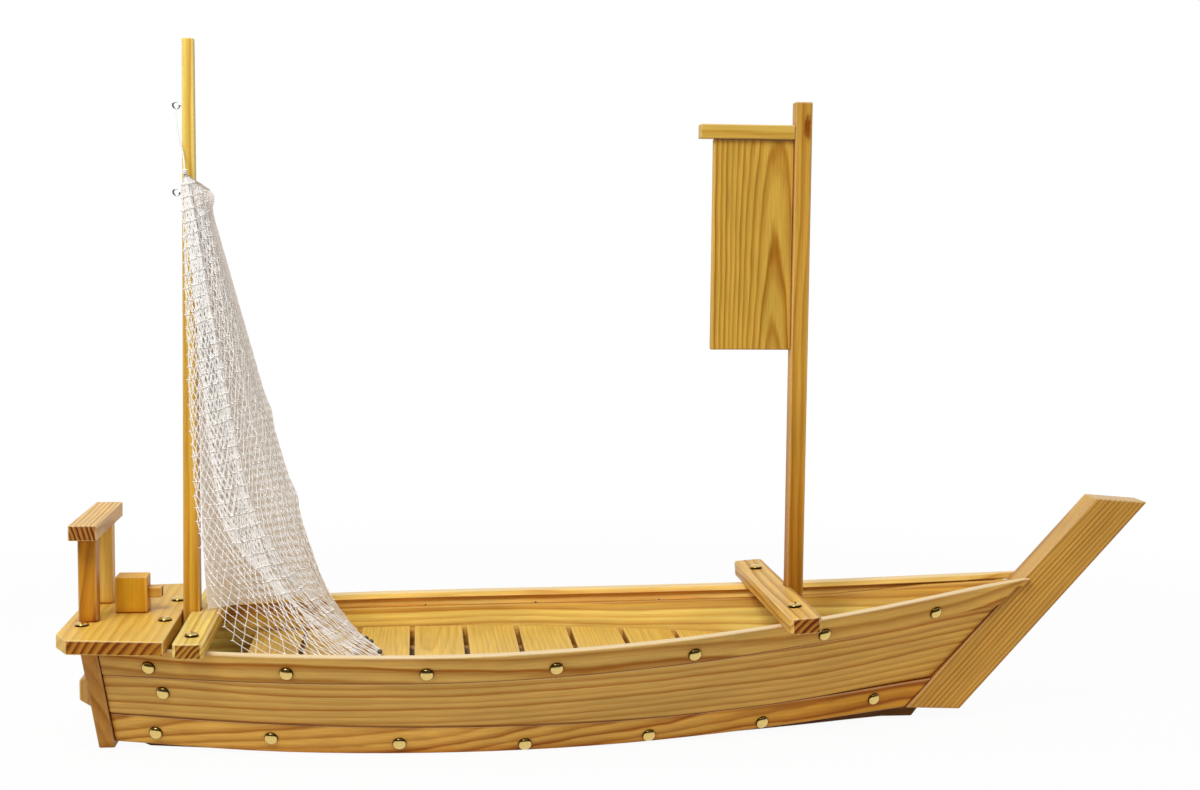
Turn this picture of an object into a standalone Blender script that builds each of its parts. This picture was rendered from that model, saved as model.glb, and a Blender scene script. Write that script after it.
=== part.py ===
"""Pine sushi boat: a lapped-plank serving boat with a slatted floor and two masts that lift out.

Metres, +Z up, +X to the bow, -Y to starboard. The origin is on the table, under the middle of the boat.
"""
import math

import bmesh
import bpy
from mathutils import Vector

# Fits
GAP = 0.0003
MAST_CLEARANCE = 0.0006
SHANK_CLEARANCE = 0.00025
EDGE_ROUND = 0.0007

# Overall length and the raked ends; setbacks are measured along X
LENGTH_OVERALL = 0.9005
STERN_X = -0.4515
TRANSOM_SETBACK = 0.0398
TRANSOM_RAKE = math.radians(6.15)
TRANSOM_THICKNESS = 0.0125
TRANSOM_PROUD = 0.0015
TRANSOM_FOOT_Z = 0.0013
STEM_TIP_Z = 0.1857
STEM_RAKE = math.radians(48.0)
STEM_CUT_TILT = math.radians(4.6)
STEM_FOOT_TILT = math.radians(2.0)
STEM_WIDTH = 0.036
STEM_THICKNESS = 0.027
STEM_TOE_Z = 0.0078

# Table of offsets: the lines of one side at even stations from the transom to the stem
GUNWALE_HALF_BREADTHS = (0.084, 0.120, 0.1315, 0.114, 0.074, 0.0190)
SHEER_HEIGHTS = (0.0870, 0.0866, 0.0875, 0.0928, 0.1040, 0.1210)
SEAM_HEIGHTS = (0.0308, 0.0270, 0.0244, 0.0231, 0.0268, 0.0345)
FOOT_HEIGHTS = (0.0060, 0.0016, 0.0004, 0.0006, 0.0040, 0.0098)
BOTTOM_BREADTH_RATIO = 0.69
HULL_SECTIONS = 25

# Planking
BOTTOM_THICKNESS = 0.008
BOTTOM_AFT_SETBACK = 0.0257
BOTTOM_FORE_SETBACK = 0.200
BOTTOM_AFT_BEVEL = 0.018
BOTTOM_FORE_BEVEL = 0.006
BOTTOM_BOW_HALF = 0.005
LAP_STEP = 0.0012
LOWER_STRAKE_THICKNESS = 0.009
SIDE_PLANK_THICKNESS = 0.009
TOP_STRAKE_HEIGHT = 0.0225
TOP_STRAKE_WEB = 0.005
TOP_STRAKE_LIP = 0.011
LIP_HEIGHT = 0.005
TONGUE_HEIGHT = 0.0105
TONGUE_RISE = (0.80, 0.95)
BOW_TUCK = 0.0050
BOW_TUCK_START = 0.75
NOSE_LAP = 0.0045
NOSE_HEIGHT = 0.0068
NOSE_TAPER = math.radians(6.0)
STRAKE_END_SETBACK = 0.0025
STRAKE_CORNER_RUN = 0.011
STRAKE_CORNER_RISE = 0.0055
CENTRE_SPACE = 0.0006

# Raised floor
FLOOR_TOP_Z = 0.060
SLAT_THICKNESS = 0.008
SLAT_WIDTH = 0.042
SLAT_SPACE = 0.0042
FLOOR_SETBACK = 0.0434
SLAT_SIDE_CLEARANCE = 0.0006
BEARER_WIDTH = 0.009
BEARER_HEIGHT = 0.010
BEARER_AFT_Y = 0.064
BEARER_FORE_Y = 0.046
BEARER_END_INSET = 0.004
FRAME_THICKNESS = 0.008
FRAME_AFT_INSET = 0.0400
FRAME_FORE_INSET = 0.0316

# Stern deck, gantry and bitt
DECK_THICKNESS = 0.0113
DECK_HALF_FORE = 0.115
DECK_HALF_AFT = 0.105
DECK_CORNER_X = 0.011
DECK_CORNER_Y = 0.022
GANTRY_SETBACK = 0.0170
POST_SIZE = 0.0145
POST_Y = 0.036
POST_HEIGHT = 0.068
BAR_LENGTH = 0.1235
BAR_WIDTH = 0.022
BAR_HEIGHT = 0.0123
BITT_SETBACK = 0.0476
BITT_LENGTH = 0.0255
BITT_WIDTH = 0.020
BITT_HEIGHT = 0.0297
BITT_BAR_SIZE = 0.009
BITT_BAR_REACH = 0.0110
BITT_BAR_Z = 0.0158
RUDDER_SETBACK = 0.0041
RUDDER_WIDTH = 0.030
RUDDER_TOP_Z = 0.047
RUDDER_SHOULDER = 0.004
RUDDER_STRAIGHT = 0.0165
RUDDER_BEVEL_SLOPE = 0.67

# Masts and what they carry
AFT_MAST_SETBACK = 0.0931
AFT_MAST_SIZE = 0.0142
AFT_MAST_TIP = 0.0092
AFT_MAST_LEAN = 0.0014
AFT_MAST_TOP_Z = 0.5628
FORE_MAST_SETBACK = 0.3047
FORE_MAST_SIZE = 0.014
FORE_MAST_TOP_Z = 0.5208
STEP_SIZE = 0.030
STEP_HEIGHT = 0.022
STEP_DEPTH = 0.016
SAIL_LENGTH = 0.0676
SAIL_HEIGHT = 0.1745
SAIL_THICKNESS = 0.006
YARD_LENGTH = 0.079
YARD_HEIGHT = 0.0118
YARD_THICKNESS = 0.014
YARD_DROP = 0.0192

# Thwarts
AFT_THWART_LENGTH = 0.250
AFT_THWART_WIDTH = 0.0235
AFT_THWART_THICKNESS = 0.0118
AFT_NOTCH_DEPTH = 0.0078
FORE_THWART_LENGTH = 0.250
FORE_THWART_WIDTH = 0.0255
FORE_THWART_THICKNESS = 0.0127
FORE_NOTCH_DEPTH = 0.0052
THWART_CORNER = 0.005
CORNER_STEPS = 3

# Dome nails
NAIL_HEAD_RADIUS = 0.0055
NAIL_HEAD_HEIGHT = 0.003
NAIL_SHANK_RADIUS = 0.0007
NAIL_SHANK_LENGTH = 0.009
THWART_NAIL_GRIP = 0.0035
NAIL_SIDES = 12
NAIL_DOME_STEPS = 3
BORE_SIDES = 8
NAIL_DROP = 0.0139
NAIL_SHARES = (0.07829, 0.19711, 0.31594, 0.42699, 0.55025, 0.67352, 0.78679)

# Screw hooks, string and net
HOOK_DROPS = {"upper": 0.0530, "lower": 0.1223}
HOOK_WIRE_RADIUS = 0.0008
HOOK_RING_RADIUS = 0.0027
HOOK_NECK = 0.0022
HOOK_GRIP = 0.005
HOOK_TURN_STEPS = 11
HOOK_OPENING = math.radians(70.0)
CORD_RADIUS = 0.0006
CORD_STEPS = 16
CORD_CORNER = {"fall": 0.40, "side": 0.75}
CORD_FLANK = {"fall": 0.72, "side": 1.2}
CORD_FLANK_BACK = 0.002
CORD_TIE_SHARE = 0.3
NET_TOP_FORWARD = 0.0038
NET_TOP_ASIDE = 0.0105
NET_TOP_DROP = 0.1068
NET_TOP_RADIUS = 0.0075
NET_TOP_ANGLES = (math.radians(-170.0), math.radians(-10.0))
NET_HEM = ((0.0524, -0.050), (0.1304, -0.056), (0.1524, 0.000), (0.1464, 0.055), (0.1324, 0.098))
NET_THICKNESS = 0.0012
NET_ACROSS = 40
NET_DOWN = 14
NET_PLEATS = 5.5
NET_PLEAT_DEPTH = 0.018
NET_STRAIGHTNESS = (0.20, 0.79)
NET_FLARE_POWER = 8

# Finish of the curves and edges
EDGE_ANGLE = math.radians(40.0)
DOME_ANGLE = math.radians(50.0)
SHARE_ROUNDS = 12
DECK_REST_STEPS = 8
NAIL_FACE_STEP = 0.002

# Sizes that follow from those above
BOW_X = STERN_X + LENGTH_OVERALL
TRANSOM_FOOT_X = STERN_X + TRANSOM_SETBACK
BOTTOM_AFT_X = TRANSOM_FOOT_X + BOTTOM_AFT_SETBACK
BOTTOM_FORE_X = BOW_X - BOTTOM_FORE_SETBACK
GANTRY_X = STERN_X + GANTRY_SETBACK
RUDDER_AFT_X = STERN_X + RUDDER_SETBACK
AFT_MAST_X = STERN_X + AFT_MAST_SETBACK
BITT_X = AFT_MAST_X - BITT_SETBACK
FORE_MAST_X = BOW_X - FORE_MAST_SETBACK
SAIL_BOTTOM_Z = FORE_MAST_TOP_Z - YARD_DROP - YARD_HEIGHT - GAP - SAIL_HEIGHT
HOOK_HEIGHTS = {word: AFT_MAST_TOP_Z - drop for word, drop in HOOK_DROPS.items()}
NET_TOP = (AFT_MAST_X + NET_TOP_FORWARD, -NET_TOP_ASIDE, AFT_MAST_TOP_Z - NET_TOP_DROP)
STEM_RUN = 1.0 / math.tan(STEM_RAKE)
STEM_LEVEL_WIDTH = STEM_WIDTH / math.sin(STEM_RAKE)
BOARD_TOP_Z = BOTTOM_THICKNESS + GAP
SIDE_INNER = LAP_STEP + SIDE_PLANK_THICKNESS
LOWER_INNER = 2.0 * LAP_STEP + LOWER_STRAKE_THICKNESS
SLAT_PITCH = SLAT_WIDTH + SLAT_SPACE
SLAT_BOTTOM_Z = FLOOR_TOP_Z - SLAT_THICKNESS
BEARER_BOTTOM_Z = SLAT_BOTTOM_Z - GAP - BEARER_HEIGHT
DECK_FORE_X = AFT_MAST_X - AFT_MAST_SIZE / 2 - MAST_CLEARANCE
AFT_THWART_AFT_X = AFT_MAST_X + AFT_MAST_SIZE / 2 + MAST_CLEARANCE - AFT_NOTCH_DEPTH
FORE_THWART_FORE_X = FORE_MAST_X - FORE_MAST_SIZE / 2 - MAST_CLEARANCE + FORE_NOTCH_DEPTH
MAST_FOOT_Z = BOARD_TOP_Z + STEP_HEIGHT - STEP_DEPTH + GAP
SLAT_FIRST_X = AFT_MAST_X + FLOOR_SETBACK
SLAT_COUNT = int((FORE_THWART_FORE_X - FORE_THWART_WIDTH + SLAT_SPACE - SLAT_FIRST_X) / SLAT_PITCH)
FLOOR_FORE_X = SLAT_FIRST_X + SLAT_COUNT * SLAT_PITCH - SLAT_SPACE
FRAME_AFT_X = SLAT_FIRST_X + FRAME_AFT_INSET
FRAME_FORE_X = FLOOR_FORE_X - FRAME_FORE_INSET
FRAME_POSITIONS = {"aft": FRAME_AFT_X, "mid": (FRAME_AFT_X + FRAME_FORE_X) / 2, "fore": FRAME_FORE_X}

PARTS = "sushi_boat"
CUTTERS = "sushi_boat_cutters"
SIDES = {"starboard": -1.0, "port": 1.0}


def clear_scene():
    """Start from an empty scene with one collection for the parts and one for the cutters."""
    for item in list(bpy.data.objects):
        bpy.data.objects.remove(item, do_unlink=True)
    for name in (PARTS, CUTTERS):
        collection = bpy.data.collections.new(name)
        bpy.context.scene.collection.children.link(collection)


def finish_material(name, colour, roughness, metallic=0.0):
    """A Principled material; the colour is linear RGB."""
    material = bpy.data.materials.new(name)
    material.use_nodes = True
    shader = material.node_tree.nodes["Principled BSDF"]
    shader.inputs["Base Color"].default_value = (*colour, 1.0)
    shader.inputs["Roughness"].default_value = roughness
    shader.inputs["Metallic"].default_value = metallic
    material.diffuse_color = (*colour, 1.0)
    return material


def add_part(name, mesh, material, parent=None, location=(0.0, 0.0, 0.0)):
    """Place a mesh as a named part, with its own material slot and an optional parent."""
    part = bpy.data.objects.new(name, mesh)
    if not mesh.materials:
        mesh.materials.append(material)
    bpy.data.collections[PARTS].objects.link(part)
    part.location = location
    part.parent = parent
    return part


def add_cutter(name, mesh, location=(0.0, 0.0, 0.0)):
    """A shape that is only subtracted from parts."""
    cutter = bpy.data.objects.new(name, mesh)
    bpy.data.collections[CUTTERS].objects.link(cutter)
    cutter.location = location
    cutter.hide_render = True
    cutter.display_type = "WIRE"
    return cutter


def mesh_from(name, build):
    """Run a bmesh builder and return its mesh with the faces pointing out."""
    shape = bmesh.new()
    build(shape)
    bmesh.ops.recalc_face_normals(shape, faces=shape.faces)
    mesh = bpy.data.meshes.new(name)
    shape.to_mesh(mesh)
    shape.free()
    return mesh


def block_mesh(name, size):
    """A box of the given size about its own centre."""
    def build(shape):
        bmesh.ops.create_cube(shape, size=1.0)
        bmesh.ops.scale(shape, vec=Vector(size), verts=shape.verts)
    return mesh_from(name, build)


def prism_mesh(name, outline, travel):
    """A flat outline drawn out along a vector."""
    def build(shape):
        corners = [shape.verts.new(point) for point in outline]
        face = shape.faces.new(corners)
        drawn = bmesh.ops.extrude_face_region(shape, geom=[face])
        moved = [item for item in drawn["geom"] if isinstance(item, bmesh.types.BMVert)]
        bmesh.ops.translate(shape, vec=Vector(travel), verts=moved)
    return mesh_from(name, build)


def loft_mesh(name, sections):
    """A closed skin through sections that all have the same number of corners."""
    def build(shape):
        rings = [[shape.verts.new(point) for point in section] for section in sections]
        count = len(rings[0])
        for ring, following in zip(rings, rings[1:]):
            for index in range(count):
                after = (index + 1) % count
                shape.faces.new((ring[index], ring[after], following[after], following[index]))
        shape.faces.new(rings[0])
        shape.faces.new(rings[-1])
    return mesh_from(name, build)


def bore_mesh(name, radius, depth):
    """A thin round rod about its own centre, for boring a hole."""
    def build(shape):
        bmesh.ops.create_cone(shape, cap_ends=True, segments=BORE_SIDES, radius1=radius, radius2=radius,
                              depth=depth)
    return mesh_from(name, build)


def round_edges(part):
    """Take the sharp edges off a wooden piece."""
    bevel = part.modifiers.new("round_edges", "BEVEL")
    bevel.width = EDGE_ROUND
    bevel.segments = 1
    bevel.limit_method = "ANGLE"
    bevel.angle_limit = EDGE_ANGLE


def cut(part, cutter):
    """Subtract a cutter from a part."""
    boolean = part.modifiers.new(cutter.name, "BOOLEAN")
    boolean.operation = "DIFFERENCE"
    boolean.solver = "EXACT"
    boolean.object = cutter


def wooden_block(name, size, centre, material, parent=None):
    """A square-cut piece of wood with eased edges."""
    part = add_part(name, block_mesh(name, size), material, parent, centre)
    round_edges(part)
    return part


def fair(values, share):
    """A smooth curve through the values at the stations, read at a share of the length."""
    place = min(max(share, 0.0), 1.0) * (len(values) - 1)
    index = min(int(place), len(values) - 2)
    along = place - index
    before = values[index - 1] if index > 0 else 2.0 * values[0] - values[1]
    start, end = values[index], values[index + 1]
    beyond = values[index + 2] if index + 2 < len(values) else 2.0 * values[-1] - values[-2]
    slope_in = (end - before) / 2.0
    slope_out = (beyond - start) / 2.0
    bend = 3.0 * (end - start) - 2.0 * slope_in - slope_out
    twist = slope_in + slope_out - 2.0 * (end - start)
    return start + slope_in * along + bend * along ** 2 + twist * along ** 3


def sheer(share):
    return fair(SHEER_HEIGHTS, share)


def seam(share):
    return fair(SEAM_HEIGHTS, share)


def lap(share):
    return sheer(share) - TOP_STRAKE_HEIGHT


def stern_face(height):
    """X of the transom's forward face."""
    return TRANSOM_FOOT_X - height * math.tan(TRANSOM_RAKE)


def stem_face(height):
    """X of the stem's after face."""
    return BOW_X - STEM_LEVEL_WIDTH - STEM_RUN * (STEM_TIP_Z - height)


def share_at(position, height):
    """Share of the length at an X, at one height."""
    return (position - stern_face(height)) / (stem_face(height) - stern_face(height))


def gunwale_share(position):
    """Share of the length where the gunwale passes an X."""
    share = 0.5
    for _ in range(SHARE_ROUNDS):
        share = share_at(position, sheer(share))
    return share


def half_breadth(share, height):
    """Outer half breadth of the hull, which flares from the bottom to the gunwale."""
    rise = height / sheer(share)
    spread = BOTTOM_BREADTH_RATIO + (1.0 - BOTTOM_BREADTH_RATIO) * rise
    return fair(GUNWALE_HALF_BREADTHS, share) * spread


def along_hull(share, height):
    """X of a point on a plank, which stops a gap short of the transom and the stem."""
    aft = stern_face(height) + GAP
    fore = stem_face(height) - GAP
    return aft + share * (fore - aft)


def rise(share, start, end):
    """Rises smoothly from 0 to 1 between two shares of the hull's length."""
    along = min(max((share - start) / (end - start), 0.0), 1.0)
    return along * along * (3.0 - 2.0 * along)


def bow_tuck(share):
    """How far a side plank draws in to meet the stem."""
    return BOW_TUCK * rise(share, BOW_TUCK_START, 1.0)


def tongue_height(share):
    """Height of the tongue behind a top strake; before the stem it rises to the lip and closes the hull."""
    under_lip = TOP_STRAKE_HEIGHT - LIP_HEIGHT - 2.0 * GAP
    return TONGUE_HEIGHT + (under_lip - TONGUE_HEIGHT) * rise(share, *TONGUE_RISE)


def hull_shares():
    return [index / (HULL_SECTIONS - 1) for index in range(HULL_SECTIONS)]


def plank_section(share, side, corners):
    """Corners given as height and inset from the hull's outer face, in world coordinates."""
    section = []
    for height, inset in corners:
        breadth = max(half_breadth(share, height) - inset, CENTRE_SPACE)
        section.append((along_hull(share, height), side * breadth, height))
    return section


def lower_strake_corners(share):
    outer = 2.0 * LAP_STEP
    top = seam(share) - GAP / 2
    foot = fair(FOOT_HEIGHTS, share)
    return [(foot, outer), (top, outer), (top, LOWER_INNER), (foot, LOWER_INNER)]


def side_plank_corners(share):
    tuck = bow_tuck(share)
    foot = seam(share) + GAP / 2
    shoulder = lap(share) - GAP / 2
    crown = lap(share) + tongue_height(share)
    outer = LAP_STEP + tuck
    tongue = TOP_STRAKE_WEB + GAP + tuck
    inner = SIDE_INNER + tuck
    return [(foot, outer), (shoulder, outer), (shoulder, tongue),
            (crown, tongue), (crown, inner), (foot, inner)]


def top_strake_corners(share):
    foot = lap(share) + GAP / 2
    top = sheer(share)
    ledge = top - LIP_HEIGHT

    def inset(height, thickness):
        return min(thickness, half_breadth(share, height) - STEM_THICKNESS / 2 - GAP)
    return [(foot, 0.0), (top, 0.0), (top, inset(top, TOP_STRAKE_LIP)), (ledge, inset(ledge, TOP_STRAKE_LIP)),
            (ledge, inset(ledge, TOP_STRAKE_WEB)), (foot, inset(foot, TOP_STRAKE_WEB))]


def make_plank(name, side, corners, material, nose=0.0):
    """One bent plank, from the transom to the stem; a nose runs on past the stem's after face."""
    sections = [plank_section(share, side, corners(share)) for share in hull_shares()]
    if nose:
        sections.append([(x + nose, y, z) for x, y, z in sections[-1]])
    plank = add_part(name, loft_mesh(name, sections), material)
    round_edges(plank)
    return plank


def strake_end_cutter():
    """Trims the top strakes to the stem's rake below the nose that laps it, and sweeps their lower corner."""
    corner = STRAKE_END_SETBACK + STRAKE_CORNER_RUN
    heel = lap(share_at(stem_face(lap(1.0)) - corner, lap(1.0))) - EDGE_ROUND
    profile = [(corner, heel - TOP_STRAKE_HEIGHT)]
    for step in range(CORNER_STEPS + 1):
        turn = math.pi / 2 * step / CORNER_STEPS
        profile.append((corner - STRAKE_CORNER_RUN * math.sin(turn),
                        heel + STRAKE_CORNER_RISE * (1.0 - math.cos(turn))))
    profile.append((STRAKE_END_SETBACK, sheer(1.0) - NOSE_HEIGHT))
    half = 2.0 * fair(GUNWALE_HALF_BREADTHS, 1.0)
    outline = [(stem_face(z) - setback, -half, z) for setback, z in profile]
    reach = NOSE_LAP + STEM_WIDTH
    x, y, z = outline[-1]
    outline += [(x + reach, y, z + reach * math.tan(NOSE_TAPER)), (x + reach, y, outline[0][2])]
    return add_cutter("strake_end_cutter", prism_mesh("strake_end_cutter", outline, (0.0, 2.0 * half, 0.0)))


def make_planking(wood):
    trim = strake_end_cutter()
    planks = {}
    for word, side in SIDES.items():
        make_plank(word + "_lower_strake", side, lower_strake_corners, wood)
        planks[word + "_side"] = make_plank(word + "_side_plank", side, side_plank_corners, wood)
        strake = make_plank(word + "_top_strake", side, top_strake_corners, wood, NOSE_LAP)
        cut(strake, trim)
        planks[word + "_top"] = strake
    return planks


def make_bottom_board(wood):
    """Flat board that fills the space between the lower strakes, with both ends cut on a slant."""
    levels = ((0.0, BOTTOM_AFT_X, BOTTOM_FORE_X),
              (BOTTOM_THICKNESS, BOTTOM_AFT_X - BOTTOM_AFT_BEVEL, BOTTOM_FORE_X + BOTTOM_FORE_BEVEL))
    outlines = []
    for height, aft, fore in levels:
        rim = []
        for part in hull_shares():
            x = aft + part * (fore - aft)
            inside = half_breadth(share_at(x, height), height) - LOWER_INNER - 2.0 * GAP
            rim.append((x, max(inside, BOTTOM_BOW_HALF), height))
        outlines.append(rim + [(x, -y, z) for x, y, z in reversed(rim)])
    board = add_part("bottom_board", loft_mesh("bottom_board", outlines), wood)
    round_edges(board)


def deck_bottom():
    """The deck lies on the highest point of the gunwale under it."""
    end = gunwale_share(DECK_FORE_X)
    shares = [end * index / DECK_REST_STEPS for index in range(DECK_REST_STEPS + 1)]
    return max(sheer(share) for share in shares) + GAP


def make_transom(wood):
    """Raked stern board, a little wider than the planks that butt against it."""
    sections = []
    for height in (TRANSOM_FOOT_Z, deck_bottom() - GAP):
        fore = stern_face(height)
        half = half_breadth(0.0, height) + TRANSOM_PROUD
        aft = fore - TRANSOM_THICKNESS
        sections.append([(aft, -half, height), (fore, -half, height),
                         (fore, half, height), (aft, half, height)])
    board = add_part("transom", loft_mesh("transom", sections), wood)
    round_edges(board)


def make_rudder_block(wood):
    """Small block on the after face of the transom, bevelled below."""
    def seat(height):
        return stern_face(height) - TRANSOM_THICKNESS - GAP
    low = RUDDER_TOP_Z - RUDDER_SHOULDER / 2 - RUDDER_STRAIGHT
    bevel_run = seat(low) - RUDDER_AFT_X
    foot = low - RUDDER_BEVEL_SLOPE * bevel_run
    half = RUDDER_WIDTH / 2
    profile = [(RUDDER_AFT_X, low), (seat(foot), foot), (seat(RUDDER_TOP_Z), RUDDER_TOP_Z),
               (RUDDER_AFT_X + RUDDER_SHOULDER, RUDDER_TOP_Z),
               (RUDDER_AFT_X, RUDDER_TOP_Z - RUDDER_SHOULDER / 2)]
    outline = [(x, -half, z) for x, z in profile]
    block = add_part("rudder_block", prism_mesh("rudder_block", outline, (0.0, RUDDER_WIDTH, 0.0)), wood)
    round_edges(block)


def make_stem(wood):
    """Raked bow post with both ends cut a little off level."""
    def after_corner(tip_x, tip_z, tilt):
        fall = math.tan(tilt)
        height = tip_z + fall * STEM_LEVEL_WIDTH / (1.0 + fall * STEM_RUN)
        return (tip_x - STEM_LEVEL_WIDTH + STEM_RUN * (height - tip_z), height)
    toe_x = BOW_X - STEM_RUN * (STEM_TIP_Z - STEM_TOE_Z)
    profile = [(toe_x, STEM_TOE_Z), (BOW_X, STEM_TIP_Z), after_corner(BOW_X, STEM_TIP_Z, STEM_CUT_TILT),
               after_corner(toe_x, STEM_TOE_Z, STEM_FOOT_TILT)]
    outline = [(x, -STEM_THICKNESS / 2, z) for x, z in profile]
    post = add_part("stem_post", prism_mesh("stem_post", outline, (0.0, STEM_THICKNESS, 0.0)), wood)
    round_edges(post)


def inner_half(position, height, inset):
    """Half breadth inside the planks at an X and a height."""
    return half_breadth(share_at(position, height), height) - inset - bow_tuck(share_at(position, height))


def make_frames(wood):
    """Cross frames that stand on the bottom board and carry the floor."""
    for word, position in FRAME_POSITIONS.items():
        sections = []
        for x in (position - FRAME_THICKNESS / 2, position + FRAME_THICKNESS / 2):
            foot = inner_half(x, BOARD_TOP_Z, LOWER_INNER) - 2.0 * GAP
            top_z = BEARER_BOTTOM_Z - GAP
            top = inner_half(x, top_z, LOWER_INNER) - 2.0 * GAP
            sections.append([(x, -foot, BOARD_TOP_Z), (x, foot, BOARD_TOP_Z),
                             (x, top, top_z), (x, -top, top_z)])
        name = "floor_frame_" + word
        frame = add_part(name, loft_mesh(name, sections), wood)
        round_edges(frame)


def make_bearers(wood):
    """Two runners that close up a little towards the bow, under the slats."""
    aft = SLAT_FIRST_X + BEARER_END_INSET
    fore = FLOOR_FORE_X - BEARER_END_INSET
    half = BEARER_WIDTH / 2
    for word, side in SIDES.items():
        corners = [(aft, BEARER_AFT_Y - half), (fore, BEARER_FORE_Y - half), (fore, BEARER_FORE_Y + half),
                   (aft, BEARER_AFT_Y + half)]
        outline = [(x, side * y, BEARER_BOTTOM_Z) for x, y in corners]
        name = word + "_floor_bearer"
        bearer = add_part(name, prism_mesh(name, outline, (0.0, 0.0, BEARER_HEIGHT)), wood)
        round_edges(bearer)


def make_slats(wood):
    """Cross slats, each cut to the width of the hull where it lies."""
    for index in range(SLAT_COUNT):
        aft = SLAT_FIRST_X + index * SLAT_PITCH
        fore = aft + SLAT_WIDTH
        inset = LOWER_INNER + SLAT_SIDE_CLEARANCE
        aft_half = inner_half(aft, SLAT_BOTTOM_Z, inset)
        fore_half = inner_half(fore, SLAT_BOTTOM_Z, inset)
        corners = [(aft, -aft_half), (fore, -fore_half), (fore, fore_half), (aft, aft_half)]
        outline = [(x, y, SLAT_BOTTOM_Z) for x, y in corners]
        name = f"floor_slat_{index + 1:02d}"
        slat = add_part(name, prism_mesh(name, outline, (0.0, 0.0, SLAT_THICKNESS)), wood)
        round_edges(slat)


def make_deck(wood):
    """Stern deck, wider forward, with its after corners clipped."""
    base = deck_bottom()
    corners = [(DECK_FORE_X, DECK_HALF_FORE), (STERN_X + DECK_CORNER_X, DECK_HALF_AFT),
               (STERN_X, DECK_HALF_AFT - DECK_CORNER_Y)]
    outline = [(x, y, base) for x, y in corners] + [(x, -y, base) for x, y in reversed(corners)]
    deck = add_part("aft_deck", prism_mesh("aft_deck", outline, (0.0, 0.0, DECK_THICKNESS)), wood)
    round_edges(deck)


def make_gantry(wood):
    """Two posts on the deck with a bar across them."""
    deck_top = deck_bottom() + DECK_THICKNESS
    post_z = deck_top + GAP + POST_HEIGHT / 2
    for word, side in SIDES.items():
        size = (POST_SIZE, POST_SIZE, POST_HEIGHT)
        wooden_block(word + "_gantry_post", size, (GANTRY_X, side * POST_Y, post_z), wood)
    bar_z = deck_top + 2.0 * GAP + POST_HEIGHT + BAR_HEIGHT / 2
    wooden_block("gantry_bar", (BAR_WIDTH, BAR_LENGTH, BAR_HEIGHT), (GANTRY_X, 0.0, bar_z), wood)


def make_bitt(wood):
    """Block on the deck with a square bar let through it, flush aft and standing out forward."""
    base = deck_bottom() + DECK_THICKNESS + GAP
    block = wooden_block("bitt_block", (BITT_LENGTH, BITT_WIDTH, BITT_HEIGHT),
                         (BITT_X, 0.0, base + BITT_HEIGHT / 2), wood)
    length = BITT_LENGTH + BITT_BAR_REACH
    wooden_block("bitt_bar", (length, BITT_BAR_SIZE, BITT_BAR_SIZE),
                 (BITT_X + BITT_BAR_REACH / 2, 0.0, base + BITT_BAR_Z), wood)
    hole = BITT_BAR_SIZE + 2.0 * GAP
    cut(block, add_cutter("bitt_hole", block_mesh("bitt_hole", (2.0 * length, hole, hole)),
                          (BITT_X, 0.0, base + BITT_BAR_Z)))


def rounded_corners(aft, fore, half, radius):
    """Plan outline of a thwart, with its four corners rounded."""
    outline = []
    centres = [(fore - radius, half - radius, 0.0), (aft + radius, half - radius, 90.0),
               (aft + radius, radius - half, 180.0), (fore - radius, radius - half, 270.0)]
    for x, y, start in centres:
        for step in range(CORNER_STEPS + 1):
            angle = math.radians(start + 90.0 * step / CORNER_STEPS)
            outline.append((x + radius * math.cos(angle), y + radius * math.sin(angle)))
    return outline


def thwart_seat(aft, fore):
    """Centre of a thwart's underside, which lies along the sheer, and the angle of the sheer there."""
    low = sheer(gunwale_share(aft))
    high = sheer(gunwale_share(fore))
    return Vector(((aft + fore) / 2, 0.0, (low + high) / 2 + GAP)), math.atan2(high - low, fore - aft)


def make_thwart(name, aft, fore, length, thickness, notch, wood):
    """Cross beam on the gunwales, with an open notch for a mast."""
    seat, rise = thwart_seat(aft, fore)
    half = (fore - aft) / 2
    outline = [(x, y, 0.0) for x, y in rounded_corners(-half, half, length / 2, THWART_CORNER)]
    thwart = add_part(name, prism_mesh(name, outline, (0.0, 0.0, thickness)), wood, None, seat)
    thwart.rotation_euler = (0.0, -rise, 0.0)
    round_edges(thwart)
    mast_x, mast_size = notch
    size = mast_size + 2.0 * MAST_CLEARANCE
    cutter = block_mesh(name + "_notch", (size, size, 3.0 * thickness))
    cut(thwart, add_cutter(name + "_notch", cutter, (mast_x, 0.0, seat.z + thickness / 2)))
    return thwart


def make_thwarts(wood):
    aft = AFT_THWART_AFT_X
    fore = FORE_THWART_FORE_X
    return {
        "aft": make_thwart("aft_thwart", aft, aft + AFT_THWART_WIDTH, AFT_THWART_LENGTH, AFT_THWART_THICKNESS,
                           (AFT_MAST_X, AFT_MAST_SIZE), wood),
        "fore": make_thwart("fore_thwart", fore - FORE_THWART_WIDTH, fore, FORE_THWART_LENGTH,
                            FORE_THWART_THICKNESS, (FORE_MAST_X, FORE_MAST_SIZE), wood),
    }


def make_step(name, mast_x, mast_size, wood):
    """Socket on the bottom board for the foot of a mast."""
    block = wooden_block(name, (STEP_SIZE, STEP_SIZE, STEP_HEIGHT),
                         (mast_x, 0.0, BOARD_TOP_Z + STEP_HEIGHT / 2), wood)
    size = mast_size + 2.0 * MAST_CLEARANCE
    hole_z = BOARD_TOP_Z + STEP_HEIGHT
    socket = block_mesh(name + "_socket", (size, size, 2.0 * STEP_DEPTH))
    cut(block, add_cutter(name + "_socket", socket, (mast_x, 0.0, hole_z)))


def mast_axis(name, position):
    """Empty on the line along which a mast lifts out."""
    axis = bpy.data.objects.new(name, None)
    bpy.data.collections[PARTS].objects.link(axis)
    axis.location = (position, 0.0, 0.0)
    return axis


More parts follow.
